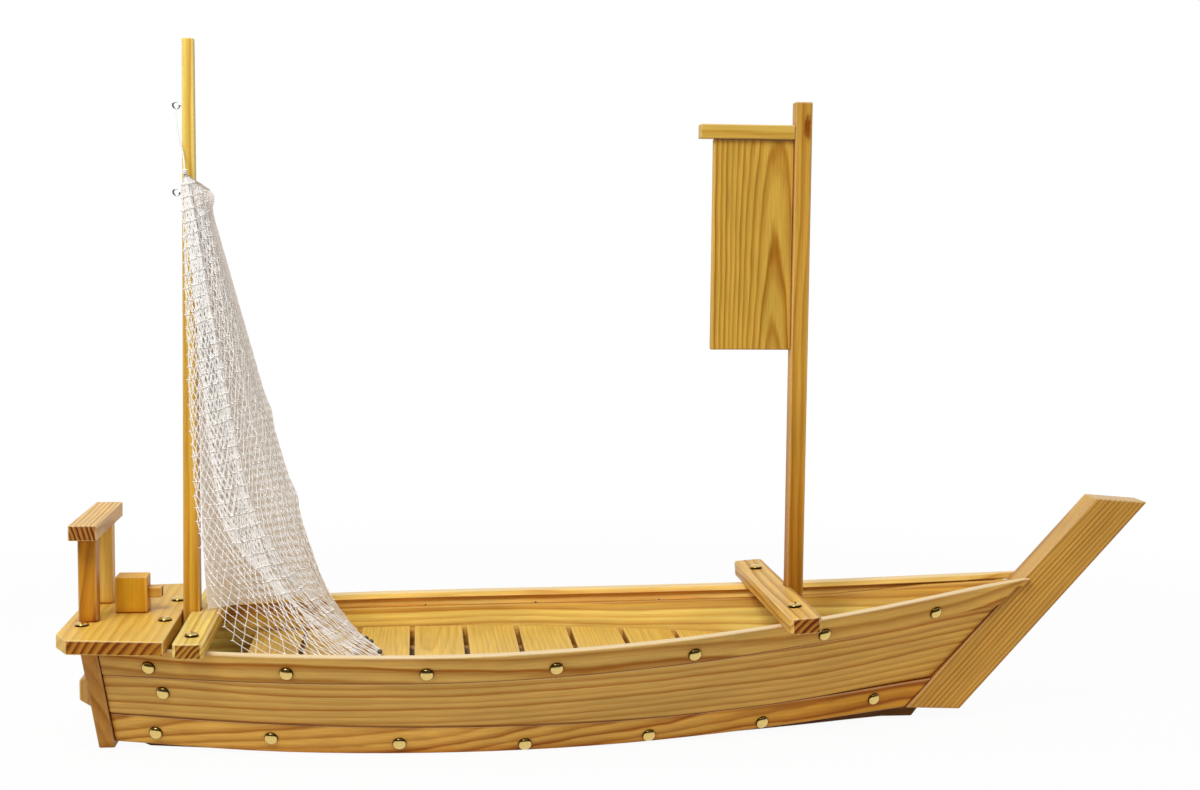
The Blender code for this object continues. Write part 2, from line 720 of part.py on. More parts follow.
def aft_mast_aft_face(height):
    """X of the tapered after face of the aft mast, from the mast's own axis."""
    along = (height - MAST_FOOT_Z) / (AFT_MAST_TOP_Z - MAST_FOOT_Z)
    size = AFT_MAST_SIZE + (AFT_MAST_TIP - AFT_MAST_SIZE) * along
    return AFT_MAST_LEAN * along - size / 2


def make_aft_mast(wood, axis):
    """Square mast that tapers to its top, mostly on its after face."""
    sections = []
    for height, size in ((MAST_FOOT_Z, AFT_MAST_SIZE), (AFT_MAST_TOP_Z, AFT_MAST_TIP)):
        aft = aft_mast_aft_face(height)
        fore = aft + size
        half = size / 2
        sections.append([(aft, -half, height), (fore, -half, height),
                         (fore, half, height), (aft, half, height)])
    mast = add_part("aft_mast", loft_mesh("aft_mast", sections), wood, axis)
    round_edges(mast)
    return mast


def make_fore_mast(wood, axis):
    """Square mast with a board sail under a short yard, both on its after face."""
    height = FORE_MAST_TOP_Z - MAST_FOOT_Z
    size = (FORE_MAST_SIZE, FORE_MAST_SIZE, height)
    wooden_block("fore_mast", size, (0.0, 0.0, MAST_FOOT_Z + height / 2), wood, axis)
    face = -FORE_MAST_SIZE / 2 - GAP
    sail_size = (SAIL_LENGTH, SAIL_THICKNESS, SAIL_HEIGHT)
    sail_centre = (face - SAIL_LENGTH / 2, 0.0, SAIL_BOTTOM_Z + SAIL_HEIGHT / 2)
    wooden_block("sail_board", sail_size, sail_centre, wood, axis)
    yard_z = SAIL_BOTTOM_Z + SAIL_HEIGHT + GAP + YARD_HEIGHT / 2
    yard_size = (YARD_LENGTH, YARD_THICKNESS, YARD_HEIGHT)
    wooden_block("sail_yard", yard_size, (face - YARD_LENGTH / 2, 0.0, yard_z), wood, axis)


def nail_mesh(shank_length):
    """A dome head on a thin shank, turned about Z; the head's flat underside is at zero."""
    def build(shape):
        turn = [index * math.pi / 2 / NAIL_DOME_STEPS for index in range(NAIL_DOME_STEPS + 1)]
        profile = [(NAIL_HEAD_RADIUS * math.sin(a), NAIL_HEAD_HEIGHT * math.cos(a)) for a in turn]
        profile += [(NAIL_SHANK_RADIUS, 0.0), (NAIL_SHANK_RADIUS, -shank_length), (0.0, -shank_length)]
        points = [shape.verts.new((radius, 0.0, height)) for radius, height in profile]
        edges = [shape.edges.new(pair) for pair in zip(points, points[1:])]
        bmesh.ops.spin(shape, geom=points + edges, axis=(0.0, 0.0, 1.0), cent=(0.0, 0.0, 0.0),
                       steps=NAIL_SIDES, angle=2.0 * math.pi)
        bmesh.ops.remove_doubles(shape, verts=shape.verts, dist=NAIL_SHANK_RADIUS / 10)
    mesh = mesh_from("dome_nail", build)
    mesh.shade_smooth()
    mesh.set_sharp_from_angle(angle=DOME_ANGLE)
    return mesh


def drive_nail(name, mesh, shank_length, point, direction, targets, brass):
    """Seat a nail's head on a face and bore its shank hole in the pieces that it holds."""
    nail = add_part(name, mesh, brass, None, point + direction * GAP)
    turn = direction.to_track_quat("Z", "Y").to_euler()
    nail.rotation_euler = turn
    depth = shank_length + 2.0 * GAP

    bore = bore_mesh(name + "_hole", NAIL_SHANK_RADIUS + SHANK_CLEARANCE, 2.0 * depth)
    hole = add_cutter(name + "_hole", bore, point)
    hole.rotation_euler = turn
    for target in targets:
        cut(target, hole)


def hull_point(share, height, side):
    return Vector((along_hull(share, height), side * half_breadth(share, height), height))


def make_hull_nails(planks, brass):
    """The upper row: each nail holds a top strake to the tongue of the plank behind it."""
    mesh = nail_mesh(NAIL_SHANK_LENGTH)
    step = NAIL_FACE_STEP
    for word, side in SIDES.items():
        for index, along in enumerate(NAIL_SHARES):
            x = STERN_X + along * LENGTH_OVERALL
            height = sheer(gunwale_share(x)) - NAIL_DROP
            share = share_at(x, height)
            point = hull_point(share, height, side)
            forward = hull_point(share + step, height, side) - point
            upward = hull_point(share, height + step, side) - point
            direction = forward.cross(upward).normalized() * -side
            targets = (planks[word + "_top"], planks[word + "_side"])
            name = f"{word}_gunwale_nail_{index + 1}"
            drive_nail(name, mesh, NAIL_SHANK_LENGTH, point, direction, targets, brass)


def make_thwart_nails(thwarts, planks, brass):
    """One nail at each end of a thwart, down into the lip of the strake under it."""
    middles = {"aft": (AFT_THWART_AFT_X + AFT_THWART_WIDTH / 2, AFT_THWART_WIDTH, AFT_THWART_THICKNESS),
               "fore": (FORE_THWART_FORE_X - FORE_THWART_WIDTH / 2, FORE_THWART_WIDTH, FORE_THWART_THICKNESS)}
    for word, (x, width, thickness) in middles.items():
        length = thickness + THWART_NAIL_GRIP
        mesh = nail_mesh(length)
        seat, rise = thwart_seat(x - width / 2, x + width / 2)
        upward = Vector((-math.sin(rise), 0.0, math.cos(rise)))
        share = gunwale_share(x)
        y = half_breadth(share, sheer(share)) - TOP_STRAKE_LIP / 2
        for side_word, side in SIDES.items():
            point = seat + upward * thickness + Vector((0.0, side * y, 0.0))
            targets = (thwarts[word], planks[side_word + "_top"])
            name = f"{side_word}_{word}_thwart_nail"
            drive_nail(name, mesh, length, point, upward, targets, brass)


def tube(name, points, radius, material, parent=None):
    """A wire or string along points, with closed ends."""
    curve = bpy.data.curves.new(name, "CURVE")
    curve.dimensions = "3D"
    curve.bevel_depth = radius
    curve.bevel_resolution = 2
    curve.use_fill_caps = True
    spline = curve.splines.new("POLY")
    spline.points.add(len(points) - 1)
    for place, point in zip(spline.points, points):
        place.co = (*point, 1.0)
    curve.materials.append(material)
    part = bpy.data.objects.new(name, curve)
    bpy.data.collections[PARTS].objects.link(part)
    part.parent = parent
    return part


def hook_ring_centre(height):
    """Centre of a hook's ring, from the aft mast's axis."""
    return aft_mast_aft_face(height) - HOOK_NECK - HOOK_RING_RADIUS


def make_hooks(mast, steel, axis):
    """Wire hooks screwed into the after face of the aft mast, open at the top."""
    for word, height in HOOK_HEIGHTS.items():
        face = aft_mast_aft_face(height)
        centre = hook_ring_centre(height)
        points = [(face + HOOK_GRIP, 0.0, height), (face, 0.0, height), (face - HOOK_NECK / 2, 0.0, height)]
        for step in range(HOOK_TURN_STEPS + 1):
            angle = -step * (2.0 * math.pi - HOOK_OPENING) / HOOK_TURN_STEPS
            points.append((centre + HOOK_RING_RADIUS * math.cos(angle), 0.0,
                           height + HOOK_RING_RADIUS * math.sin(angle)))
        tube(word + "_hook", points, HOOK_WIRE_RADIUS, steel, axis)

        bore = bore_mesh(word + "_hook_hole", HOOK_WIRE_RADIUS + SHANK_CLEARANCE, 2.0 * (HOOK_GRIP + GAP))
        hole = add_cutter(word + "_hook_hole", bore, (AFT_MAST_X + face, 0.0, height))
        hole.rotation_euler = (0.0, math.pi / 2, 0.0)
        cut(mast, hole)


def smooth_route(places, steps):
    """Points read from a smooth curve through a few places."""
    padded = [places[0] * 2 - places[1]] + places + [places[-1] * 2 - places[-2]]
    route = []
    spans = len(places) - 1
    for count in range(steps + 1):
        along = min(count / steps * spans, spans - 1e-9)
        index = int(along)
        t = along - index
        p0, p1, p2, p3 = padded[index:index + 4]
        route.append(0.5 * (2.0 * p1 + (p2 - p0) * t + (2.0 * p0 - 5.0 * p1 + 4.0 * p2 - p3) * t ** 2
                            + (3.0 * p1 - p0 - 3.0 * p2 + p3) * t ** 3))
    return route


def net_top(across):
    """The gathered top edge, a small arc on the starboard side of the mast."""
    angle = NET_TOP_ANGLES[0] + across * (NET_TOP_ANGLES[1] - NET_TOP_ANGLES[0])
    x, y, z = NET_TOP
    return Vector((x + NET_TOP_RADIUS * math.cos(angle), y + NET_TOP_RADIUS * math.sin(angle), z))


def net_sheet():
    """Grid of the hanging net: a fan from the gathered top to the hem on the floor, with its main folds."""
    floor = FLOOR_TOP_Z + NET_THICKNESS / 2 + 2.0 * GAP
    hem = smooth_route([Vector((AFT_MAST_X + x, y, floor)) for x, y in NET_HEM], NET_ACROSS)
    rows = []
    for down in range(NET_DOWN + 1):
        t = down / NET_DOWN
        row = []
        for across in range(NET_ACROSS + 1):
            s = across / NET_ACROSS
            top = net_top(s)
            straight = NET_STRAIGHTNESS[0] + s * (NET_STRAIGHTNESS[1] - NET_STRAIGHTNESS[0])
            spread = straight * t + (1.0 - straight) * t ** NET_FLARE_POWER
            point = top.lerp(hem[across], spread)
            point.z = top.z + t * (floor - top.z)
            row.append(point)
        rows.append(row)
    folded = []
    for down, row in enumerate(rows):
        t = down / NET_DOWN
        depth = NET_PLEAT_DEPTH * t ** 1.5 * math.sqrt(1.0 - t)
        moved = []
        for across, point in enumerate(row):
            before = row[max(across - 1, 0)]
            after = row[min(across + 1, NET_ACROSS)]
            outward = (after - before).cross(Vector((0.0, 0.0, 1.0))).normalized()
            fold = math.sin(2.0 * math.pi * NET_PLEATS * across / NET_ACROSS)
            moved.append(point + outward * depth * 0.5 * fold)
        folded.append(moved)
    return folded


def make_net(cotton, axis):
    """The hanging net as one thin folded cloth."""
    rows = net_sheet()
    offset = Vector((AFT_MAST_X, 0.0, 0.0))

    def build(shape):
        grid = [[shape.verts.new(point - offset) for point in row] for row in rows]
        for upper, lower in zip(grid, grid[1:]):
            for index in range(NET_ACROSS):
                shape.faces.new((upper[index], lower[index], lower[index + 1], upper[index + 1]))
    net = add_part("net", mesh_from("net", build), cotton, axis)
    thick = net.modifiers.new("cloth", "SOLIDIFY")
    thick.thickness = NET_THICKNESS
    thick.offset = 0.0


def make_net_cord(cotton, axis):
    """String from the upper hook down to the gathered top of the net."""
    height = HOOK_HEIGHTS["upper"]
    ring = HOOK_RING_RADIUS + HOOK_WIRE_RADIUS + CORD_RADIUS + GAP
    start = Vector((hook_ring_centre(height), 0.0, height - ring))
    top = net_top(CORD_TIE_SHARE) + Vector((0.0, 0.0, CORD_RADIUS + GAP)) - Vector((AFT_MAST_X, 0.0, 0.0))
    side = AFT_MAST_SIZE / 2 + CORD_RADIUS + 2.0 * GAP
    fall = top.z - start.z
    corner = Vector((aft_mast_aft_face(height) - CORD_RADIUS, -side * CORD_CORNER["side"],
                     start.z + fall * CORD_CORNER["fall"]))
    flank = Vector((top.x - CORD_FLANK_BACK, -side * CORD_FLANK["side"], start.z + fall * CORD_FLANK["fall"]))
    tube("net_cord", smooth_route([start, corner, flank, top], CORD_STEPS), CORD_RADIUS, cotton, axis)


def main():
    clear_scene()
    side_pine = finish_material("oiled_pine_planks", (0.56, 0.33, 0.11), 0.45)
    pale_pine = finish_material("oiled_pine_floor", (0.68, 0.44, 0.17), 0.48)
    mast_pine = finish_material("oiled_pine_masts", (0.60, 0.34, 0.10), 0.42)
    brass = finish_material("polished_brass", (0.83, 0.62, 0.24), 0.18, 1.0)
    steel = finish_material("bright_steel", (0.62, 0.60, 0.56), 0.30, 1.0)
    cotton = finish_material("white_twine", (0.86, 0.84, 0.80), 0.80)

    planks = make_planking(side_pine)
    make_bottom_board(side_pine)
    make_transom(side_pine)
    make_rudder_block(side_pine)
    make_stem(side_pine)
    make_frames(pale_pine)
    make_bearers(pale_pine)
    make_slats(pale_pine)
    make_deck(side_pine)
    make_gantry(side_pine)
    make_bitt(side_pine)
    thwarts = make_thwarts(side_pine)
    make_step("aft_mast_step", AFT_MAST_X, AFT_MAST_SIZE, pale_pine)
    make_step("fore_mast_step", FORE_MAST_X, FORE_MAST_SIZE, pale_pine)
    make_hull_nails(planks, brass)
    make_thwart_nails(thwarts, planks, brass)

    aft_axis = mast_axis("aft_mast_axis", AFT_MAST_X)
    fore_axis = mast_axis("fore_mast_axis", FORE_MAST_X)
    aft_mast = make_aft_mast(mast_pine, aft_axis)
    make_hooks(aft_mast, steel, aft_axis)
    make_net(cotton, aft_axis)
    make_net_cord(cotton, aft_axis)
    make_fore_mast(mast_pine, fore_axis)


main()
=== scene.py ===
"""Dressed scene of the pine sushi boat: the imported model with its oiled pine, brass, steel and twine.

The knotted net, its string, the finer nails and the sinkers are made here, with a camera and a studio.
Metres, +Z up, +X to the bow, -Y to starboard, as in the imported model.
"""
import math

import bpy
from mathutils import Euler, Matrix, Vector

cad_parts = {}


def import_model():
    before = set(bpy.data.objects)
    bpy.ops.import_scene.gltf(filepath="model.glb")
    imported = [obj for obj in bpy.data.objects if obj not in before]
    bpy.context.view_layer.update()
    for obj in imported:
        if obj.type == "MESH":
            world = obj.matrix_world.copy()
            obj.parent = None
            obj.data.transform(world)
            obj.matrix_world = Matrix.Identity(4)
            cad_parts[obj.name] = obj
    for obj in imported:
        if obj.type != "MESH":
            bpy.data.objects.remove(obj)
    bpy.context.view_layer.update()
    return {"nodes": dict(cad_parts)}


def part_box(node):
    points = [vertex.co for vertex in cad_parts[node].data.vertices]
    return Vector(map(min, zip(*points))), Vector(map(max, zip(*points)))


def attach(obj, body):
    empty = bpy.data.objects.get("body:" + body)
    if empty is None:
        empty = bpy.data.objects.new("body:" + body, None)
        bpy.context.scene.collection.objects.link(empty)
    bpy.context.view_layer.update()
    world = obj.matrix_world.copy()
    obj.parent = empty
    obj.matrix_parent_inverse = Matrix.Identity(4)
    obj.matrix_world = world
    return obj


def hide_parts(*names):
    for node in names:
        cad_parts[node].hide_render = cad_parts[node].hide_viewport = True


# Camera, solved from the perspective of the photograph
CAMERA_PLACE = Vector((-0.17386, -1.45209, 0.40736))
CAMERA_YAW = math.radians(5.94)
CAMERA_PITCH = math.radians(5.12)
CAMERA_ROLL = math.radians(0.58)
CAMERA_LENS_MM = 52.72
CAMERA_SENSOR_MM = 36.0

# Studio
WHITE = (1.0, 1.0, 1.0, 1.0)
KEY_PLACE = Vector((-0.75, -1.00, 1.55))
KEY_AIM = Vector((0.0, 0.0, 0.12))
KEY_SIZE = 0.9
KEY_WATTS = 20.0
DOME_STRENGTHS = (0.25, 0.80)
ROOM_SIDE = (0.15, -0.30)
ROOM_HEIGHT = (0.72, 0.48)
ROOM_SHADE = 0.94
TABLE_FRONT = (-0.22, -0.42)
TABLE_PAINTS = ("#EAE9E7", "#8C8B89")
FLOOR_HALF = 3.0
FLOOR_RADII = (0.55, 1.20)
FLOOR_WHITENESS = 0.95

# Lines of the hull at even stations from the transom to the stem, for the run of the planks' grain; that of
# the side planks lies between seam and sheer
STATION_X = (-0.421, -0.268, -0.116, 0.037, 0.190, 0.342)
SHEER_HEIGHTS = (0.0870, 0.0866, 0.0875, 0.0928, 0.1040, 0.1210)
SEAM_HEIGHTS = (0.0308, 0.0270, 0.0244, 0.0231, 0.0268, 0.0345)
HALF_BREADTHS = (0.084, 0.120, 0.1315, 0.114, 0.074, 0.0190)
SIDE_GRAIN = 0.7
CURVE_SPAN = (-0.46, 0.46)
CURVE_HEIGHT = 0.2

# Turns that bring the grain of a board to the X axis of its figure
ALONG_X = (0.0, 0.0, 0.0)
ALONG_Y = (0.0, 0.0, math.radians(-90.0))
ALONG_Z = (0.0, math.radians(90.0), 0.0)
ALONG_STEM = (0.0, math.radians(48.0), 0.0)
ALONG_POST = (0.0, math.radians(81.0), 0.0)
ALONG_SAIL = (0.0, math.radians(90.0), math.radians(-1.8))

# Figure of the pine: wavers, fibres and clouds as repeats in a metre along and across the grain, with their
# detail; how far a waver pushes a ring; how a ring darkens through its year; how tone and gloss vary
SLOW_WAVER = ((4.0, 22.0, 22.0), 1.5)
SLOW_PUSH = 0.012
SMALL_WAVER = ((30.0, 160.0, 160.0), 1.0)
SMALL_PUSH = 0.0012
FIBRES = ((20.0, 700.0, 700.0), 3.0)
CLOUDS = ((11.0, 33.0, 33.0), 2.0)
SUMMER_WOOD = ((0.25, 0.10), (0.54, 0.56), (0.76, 1.0))
RING_WEIGHTS = (0.45, 1.0)
NOISE_RANGE = (0.25, 0.75)
STREAK_TONES = (0.84, 1.13)
CLOUD_TONES = (0.90, 1.08)
PINE_ROUGHNESS = (0.36, 0.50)
END_ROUGHNESS = 0.16
FIBRE_RELIEF = 0.6
END_EARLY_TONE = (0.60, 0.38, 0.20, 1.0)
END_LATE_TONE = (0.30, 0.14, 0.05, 1.0)
END_LINES = 2.0

# Cuts of pine that several boards share: width of a ring, spring wood, summer wood and contrast
PLAIN_CUT = (0.0050, "#C99A55", "#A06B2B", 1.0)
# Painted light: the bearers are painted pale, so that they show lit through the gaps between the floor
# slats.
BEARER_CUT = (0.0050, "#F2DDA6", "#E6C688", 0.8)
SLAT_CUT = (0.0032, "#E7BD59", "#D09E3A", 0.7)

# Heart of the trunk below the floor slats, and how it drifts from slat to slat
SLAT_HEART = 0.025
SLAT_DRIFT = (0.05, 0.31, 0.012)
SLAT_TURNS = (2.4, 3.1)

# Finish of the pine: how far painted shade reaches from a joint, and its tone; how far the arris mask
# reaches, where a painted highlight lies on arrises that face up and painted shade on those that face down;
# and how far faces must turn to show end grain or to be painted paler, as painted light, because they face
# up
CORNER = (0.009, 0.30, 0.85)
LIP_CORNER = (0.024, 0.60, 0.90)
CORNER_SAMPLES = 6
CORNER_SHADE_TONE = (0.74, 0.47, 0.18, 1.0)
ARRIS_RADIUS = 0.0015
ARRIS_SAMPLES = 4
ARRIS_BEND = (0.99, 0.86)
ARRIS_HIGHLIGHT_LEAN = (-0.45, 0.15)
ARRIS_SHADE_LEAN = (-0.15, -0.50)
ARRIS_HIGHLIGHT_SHARE = 0.9
HIGHLIGHT_CREAM = "#F3DCAE"
ARRIS_SHADE_SHARE = 0.8
ARRIS_SHADE_TONE = (0.42, 0.28, 0.18, 1.0)
END_TURN = (0.80, 0.95)
TOP_TURN = (0.55, 0.90)
GRAIN_RELIEF = {"Strength": 0.30, "Distance": 0.0003}
PINE_SHEEN = 0.13

# Changes of tone on a board: where the change is full, where it ends, and the tone. Painted shade darkens
# the mast feet and a band under the lip, painted light pales the bow of the upper starboard planks, the seam
# bands are dirt and painted shade, and the heartwood is the wood's own tone
AFT_MAST_FOOT_SHADE = (0.10, 0.46, (0.80, 0.60, 0.28, 1.0))
FORE_MAST_FOOT_SHADE = (0.12, 0.34, (0.74, 0.57, 0.27, 1.0))
BOW_PAINTED_LIGHT = (0.25, 0.03, (1.24, 1.21, 1.05, 1.0))
BOW_HEARTWOOD = (0.22, -0.02, (1.05, 0.88, 0.48, 1.0))
UNDER_LIP_SHADOW = (-0.0135, -0.0205, (0.74, 0.56, 0.34, 1.0))
SEAM_DIRT_AND_SHADE = (0.0004, -0.0036, (0.74, 0.58, 0.40, 1.0))
SEAM_EDGE_DIRT_AND_SHADE = (0.0005, 0.0022, (0.55, 0.38, 0.20, 1.0))

# Knot of the fore mast: its place and reach, and how its brown fades
MAST_KNOT = ((0.1473, -0.007, 0.4999), (0.0042, 0.005, 0.0150))
KNOT_TONE = (0.50, 0.24, 0.08, 1.0)
KNOT_EDGE = (1.40, 0.80)
KNOT_FLAME = (2.5, 2.0)
KNOT_RAGGED = 0.9

# Dome nails; the rows give X and height on a side, and X and half breadth on the deck
NAIL_RADIUS = 0.0055
NAIL_HEIGHT = 0.003
NAIL_SKIRT = 0.0004
NAIL_SIDES = 28
NAIL_STEPS = 8
NAIL_CROWN = 0.02
NAIL_RIM_SHADE = (0.0045, 0.0054)
LOWER_NAILS = ((-0.379, 0.0152), (-0.288, 0.0141), (-0.188, 0.0101), (-0.089, 0.0063), (0.012, 0.0073),
               (0.109, 0.0102), (0.210, 0.0210))
MID_NAIL = (-0.371, 0.051)
DECK_NAILS = ((-0.437, 0.055), (-0.375, 0.039))

# Net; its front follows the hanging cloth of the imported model
NET_TOP = Vector((-0.3546, -0.0105, 0.456))
NET_TOP_RADIUS = 0.0075
NET_TIE = Vector((-0.3586, -0.0165, 0.4564))
NET_SHOULDER = (0.0, 0.035)
NET_FLOOR = 0.0612
NET_PLEATS = 5.5
NET_PLEAT_POWER = 1.5
NET_FLARE_POWER = 8
NET_ROW_TILT = 0.30
NET_STRAY_TURNS = (2.4, 1.7, 0.9, 3.3, 2.1)
NET_STRAY_WAYS = (1.3, 2.1)

# Folds of the net: where across its meshes it turns, and where in its width each turn lies while the folds
# are closed and once they open; how far down they open; the flaps at its edge as place, height and reach
NET_FOLD_MESHES = (0.0, 0.08, 0.22, 0.36, 0.50, 0.64, 0.78, 0.89, 1.0)
NET_FOLD_SHARES = (0.0, 0.16, 0.36, 0.17, 0.38, 0.18, 0.40, 0.70, 1.0)
NET_OPEN_SHARES = (0.0, 0.18, 0.34, 0.44, 0.54, 0.63, 0.72, 0.86, 1.0)
NET_FOLD_GAP = 0.004
NET_FOLD_TUCKS = (1.0 / 3.0, 2.0 / 3.0)
NET_FOLD_OPENS = (0.68, 1.02)
NET_FLAPS = ((0.065, 0.025, 0.005), (0.57, 0.022, 0.0020), (0.745, 0.024, 0.0028))
NET_FLAP_SIDE = (0.8, 1.0)

# Layers of the net, with the corners of their hems, and its size laid flat
NET_FRONT = {
    "angles": (-170.0, -10.0), "straightness": (0.20, 0.91), "reaches": (1.0, 1.0), "behind": 0.0,
    "meshes": 56, "rows": 76, "twine": 0.00040, "knot": (0.0018, 0.0010, 0.0006), "folded": True,
    "pleat": 0.012, "loose": 0.0006, "hem_cord": 0.0005, "material": 0,
    "hem": ((-0.306, -0.050), (-0.230, -0.056), (-0.205, -0.008), (-0.217, 0.040), (-0.240, 0.098)),
}
NET_BACK = {
    "angles": (60.0, -5.0), "straightness": (0.10, 0.91), "reaches": (0.90, 0.945), "behind": 0.007,
    "meshes": 172, "rows": 60, "twine": 0.00021, "knot": None, "folded": False,
    "pleat": 0.0, "loose": 0.0001, "hem_cord": 0.00021, "material": 1,
    "hem": ((-0.338, -0.010), (-0.305, 0.040), (-0.275, 0.075), (-0.240, 0.098)),
}

# String, whipping and sinkers of the net
STRING_RADIUS = 0.0006
STRING_STEPS = 16
STRING_ROUNDNESS = 3
STRING_PLACES = ((-0.3677, 0.0, 0.5054), (-0.3647, -0.0062, 0.4860), (-0.3606, -0.0100, 0.4705),
                 (-0.3586, -0.0169, 0.4569))
WHIPPING_RADIUS = 0.0015
WHIPPING_TURNS = 3
WHIPPING_SIDES = 28
WHIPPING_ANGLES = (-1.2, -0.4, 0.4, 1.2)
WHIPPING_WAY = Vector((0.1, -0.2, 1.0))
SINKER_RADIUS = 0.0021
SINKER_LENGTH = 0.0046
SINKER_WAIST = (0.55, 0.45)
SINKER_BORE = 0.0007
SINKER_SIDES = 18
SINKER_STEPS = 8
HEM_STEP = 0.01
SINKER_SHARES = (0.06, 0.18, 0.30, 0.50, 0.70, 0.76, 0.94)
LEAD_RELIEF = {"Strength": 0.4, "Distance": 0.0003}


def linear(code):
    """Linear RGBA of an sRGB hex colour."""
    values = [int(code[index:index + 2], 16) / 255.0 for index in (1, 3, 5)]
    return (*(v / 12.92 if v <= 0.04045 else ((v + 0.055) / 1.055) ** 2.4 for v in values), 1.0)


def node(tree, kind, inputs=None, **settings):
    """Add a node with its settings; each input is given a value or linked from a socket."""
    made = tree.nodes.new(kind)
    for name, value in settings.items():
        setattr(made, name, value)
    for key, value in (inputs or {}).items():
        if isinstance(value, bpy.types.NodeSocket):
            tree.links.new(value, made.inputs[key])
        else:
            made.inputs[key].default_value = value
    return made


def calc(tree, operation, *values, **settings):
    """Socket with the result of a sum on numbers or sockets."""
    return node(tree, "ShaderNodeMath", dict(enumerate(values)), operation=operation, **settings).outputs[0]


def vector_calc(tree, operation, *values):
    """Socket with the result of a sum on vectors; a length and a dot product are numbers."""
    made = node(tree, "ShaderNodeVectorMath", dict(enumerate(values)), operation=operation)
    return made.outputs["Value" if operation in ("LENGTH", "DOT_PRODUCT") else "Vector"]


def ramp(tree, value, ends, results=(0.0, 1.0), **settings):
    """Socket with a value carried from one range to another, and held at its ends."""
    inputs = {"Value": value, "From Min": ends[0], "From Max": ends[1],
              "To Min": results[0], "To Max": results[1]}
    return node(tree, "ShaderNodeMapRange", inputs, **settings).outputs[0]


def smooth_ramp(tree, value, ends):
    """Socket that rises smoothly from 0 to 1."""
    return ramp(tree, value, ends, interpolation_type="SMOOTHSTEP")


def mix(tree, share, first, second, blend="MIX"):
    """Socket with two colours mixed; they are the node's inputs 6 and 7."""
    inputs = {0: share, 6: first, 7: second}
    return node(tree, "ShaderNodeMix", inputs, data_type="RGBA", blend_type=blend).outputs[2]


def noise(tree, place, scale, detail):
    """Socket with smooth noise."""
    inputs = {"Vector": place, "Scale": scale, "Detail": detail}
    return node(tree, "ShaderNodeTexNoise", inputs).outputs["Fac"]


def own_place(tree):
    """Place on a piece in its own coordinates, which move with it."""
    return node(tree, "ShaderNodeTexCoord").outputs["Object"]


def parts(tree, vector):
    """Sockets with the X, Y and Z of a vector."""
    return node(tree, "ShaderNodeSeparateXYZ", {0: vector}).outputs


def empty_tree(owner):
    """Node tree of a material or world, cleared."""
    owner.use_nodes = True
    owner.node_tree.nodes.clear()
    return owner.node_tree


def new_material(name):
    """An empty node material with its output, and its Principled shader."""
    material = bpy.data.materials.new(name)
    tree = empty_tree(material)
    shader = node(tree, "ShaderNodeBsdfPrincipled")
    node(tree, "ShaderNodeOutputMaterial", {"Surface": shader.outputs["BSDF"]})
    return material, tree, shader


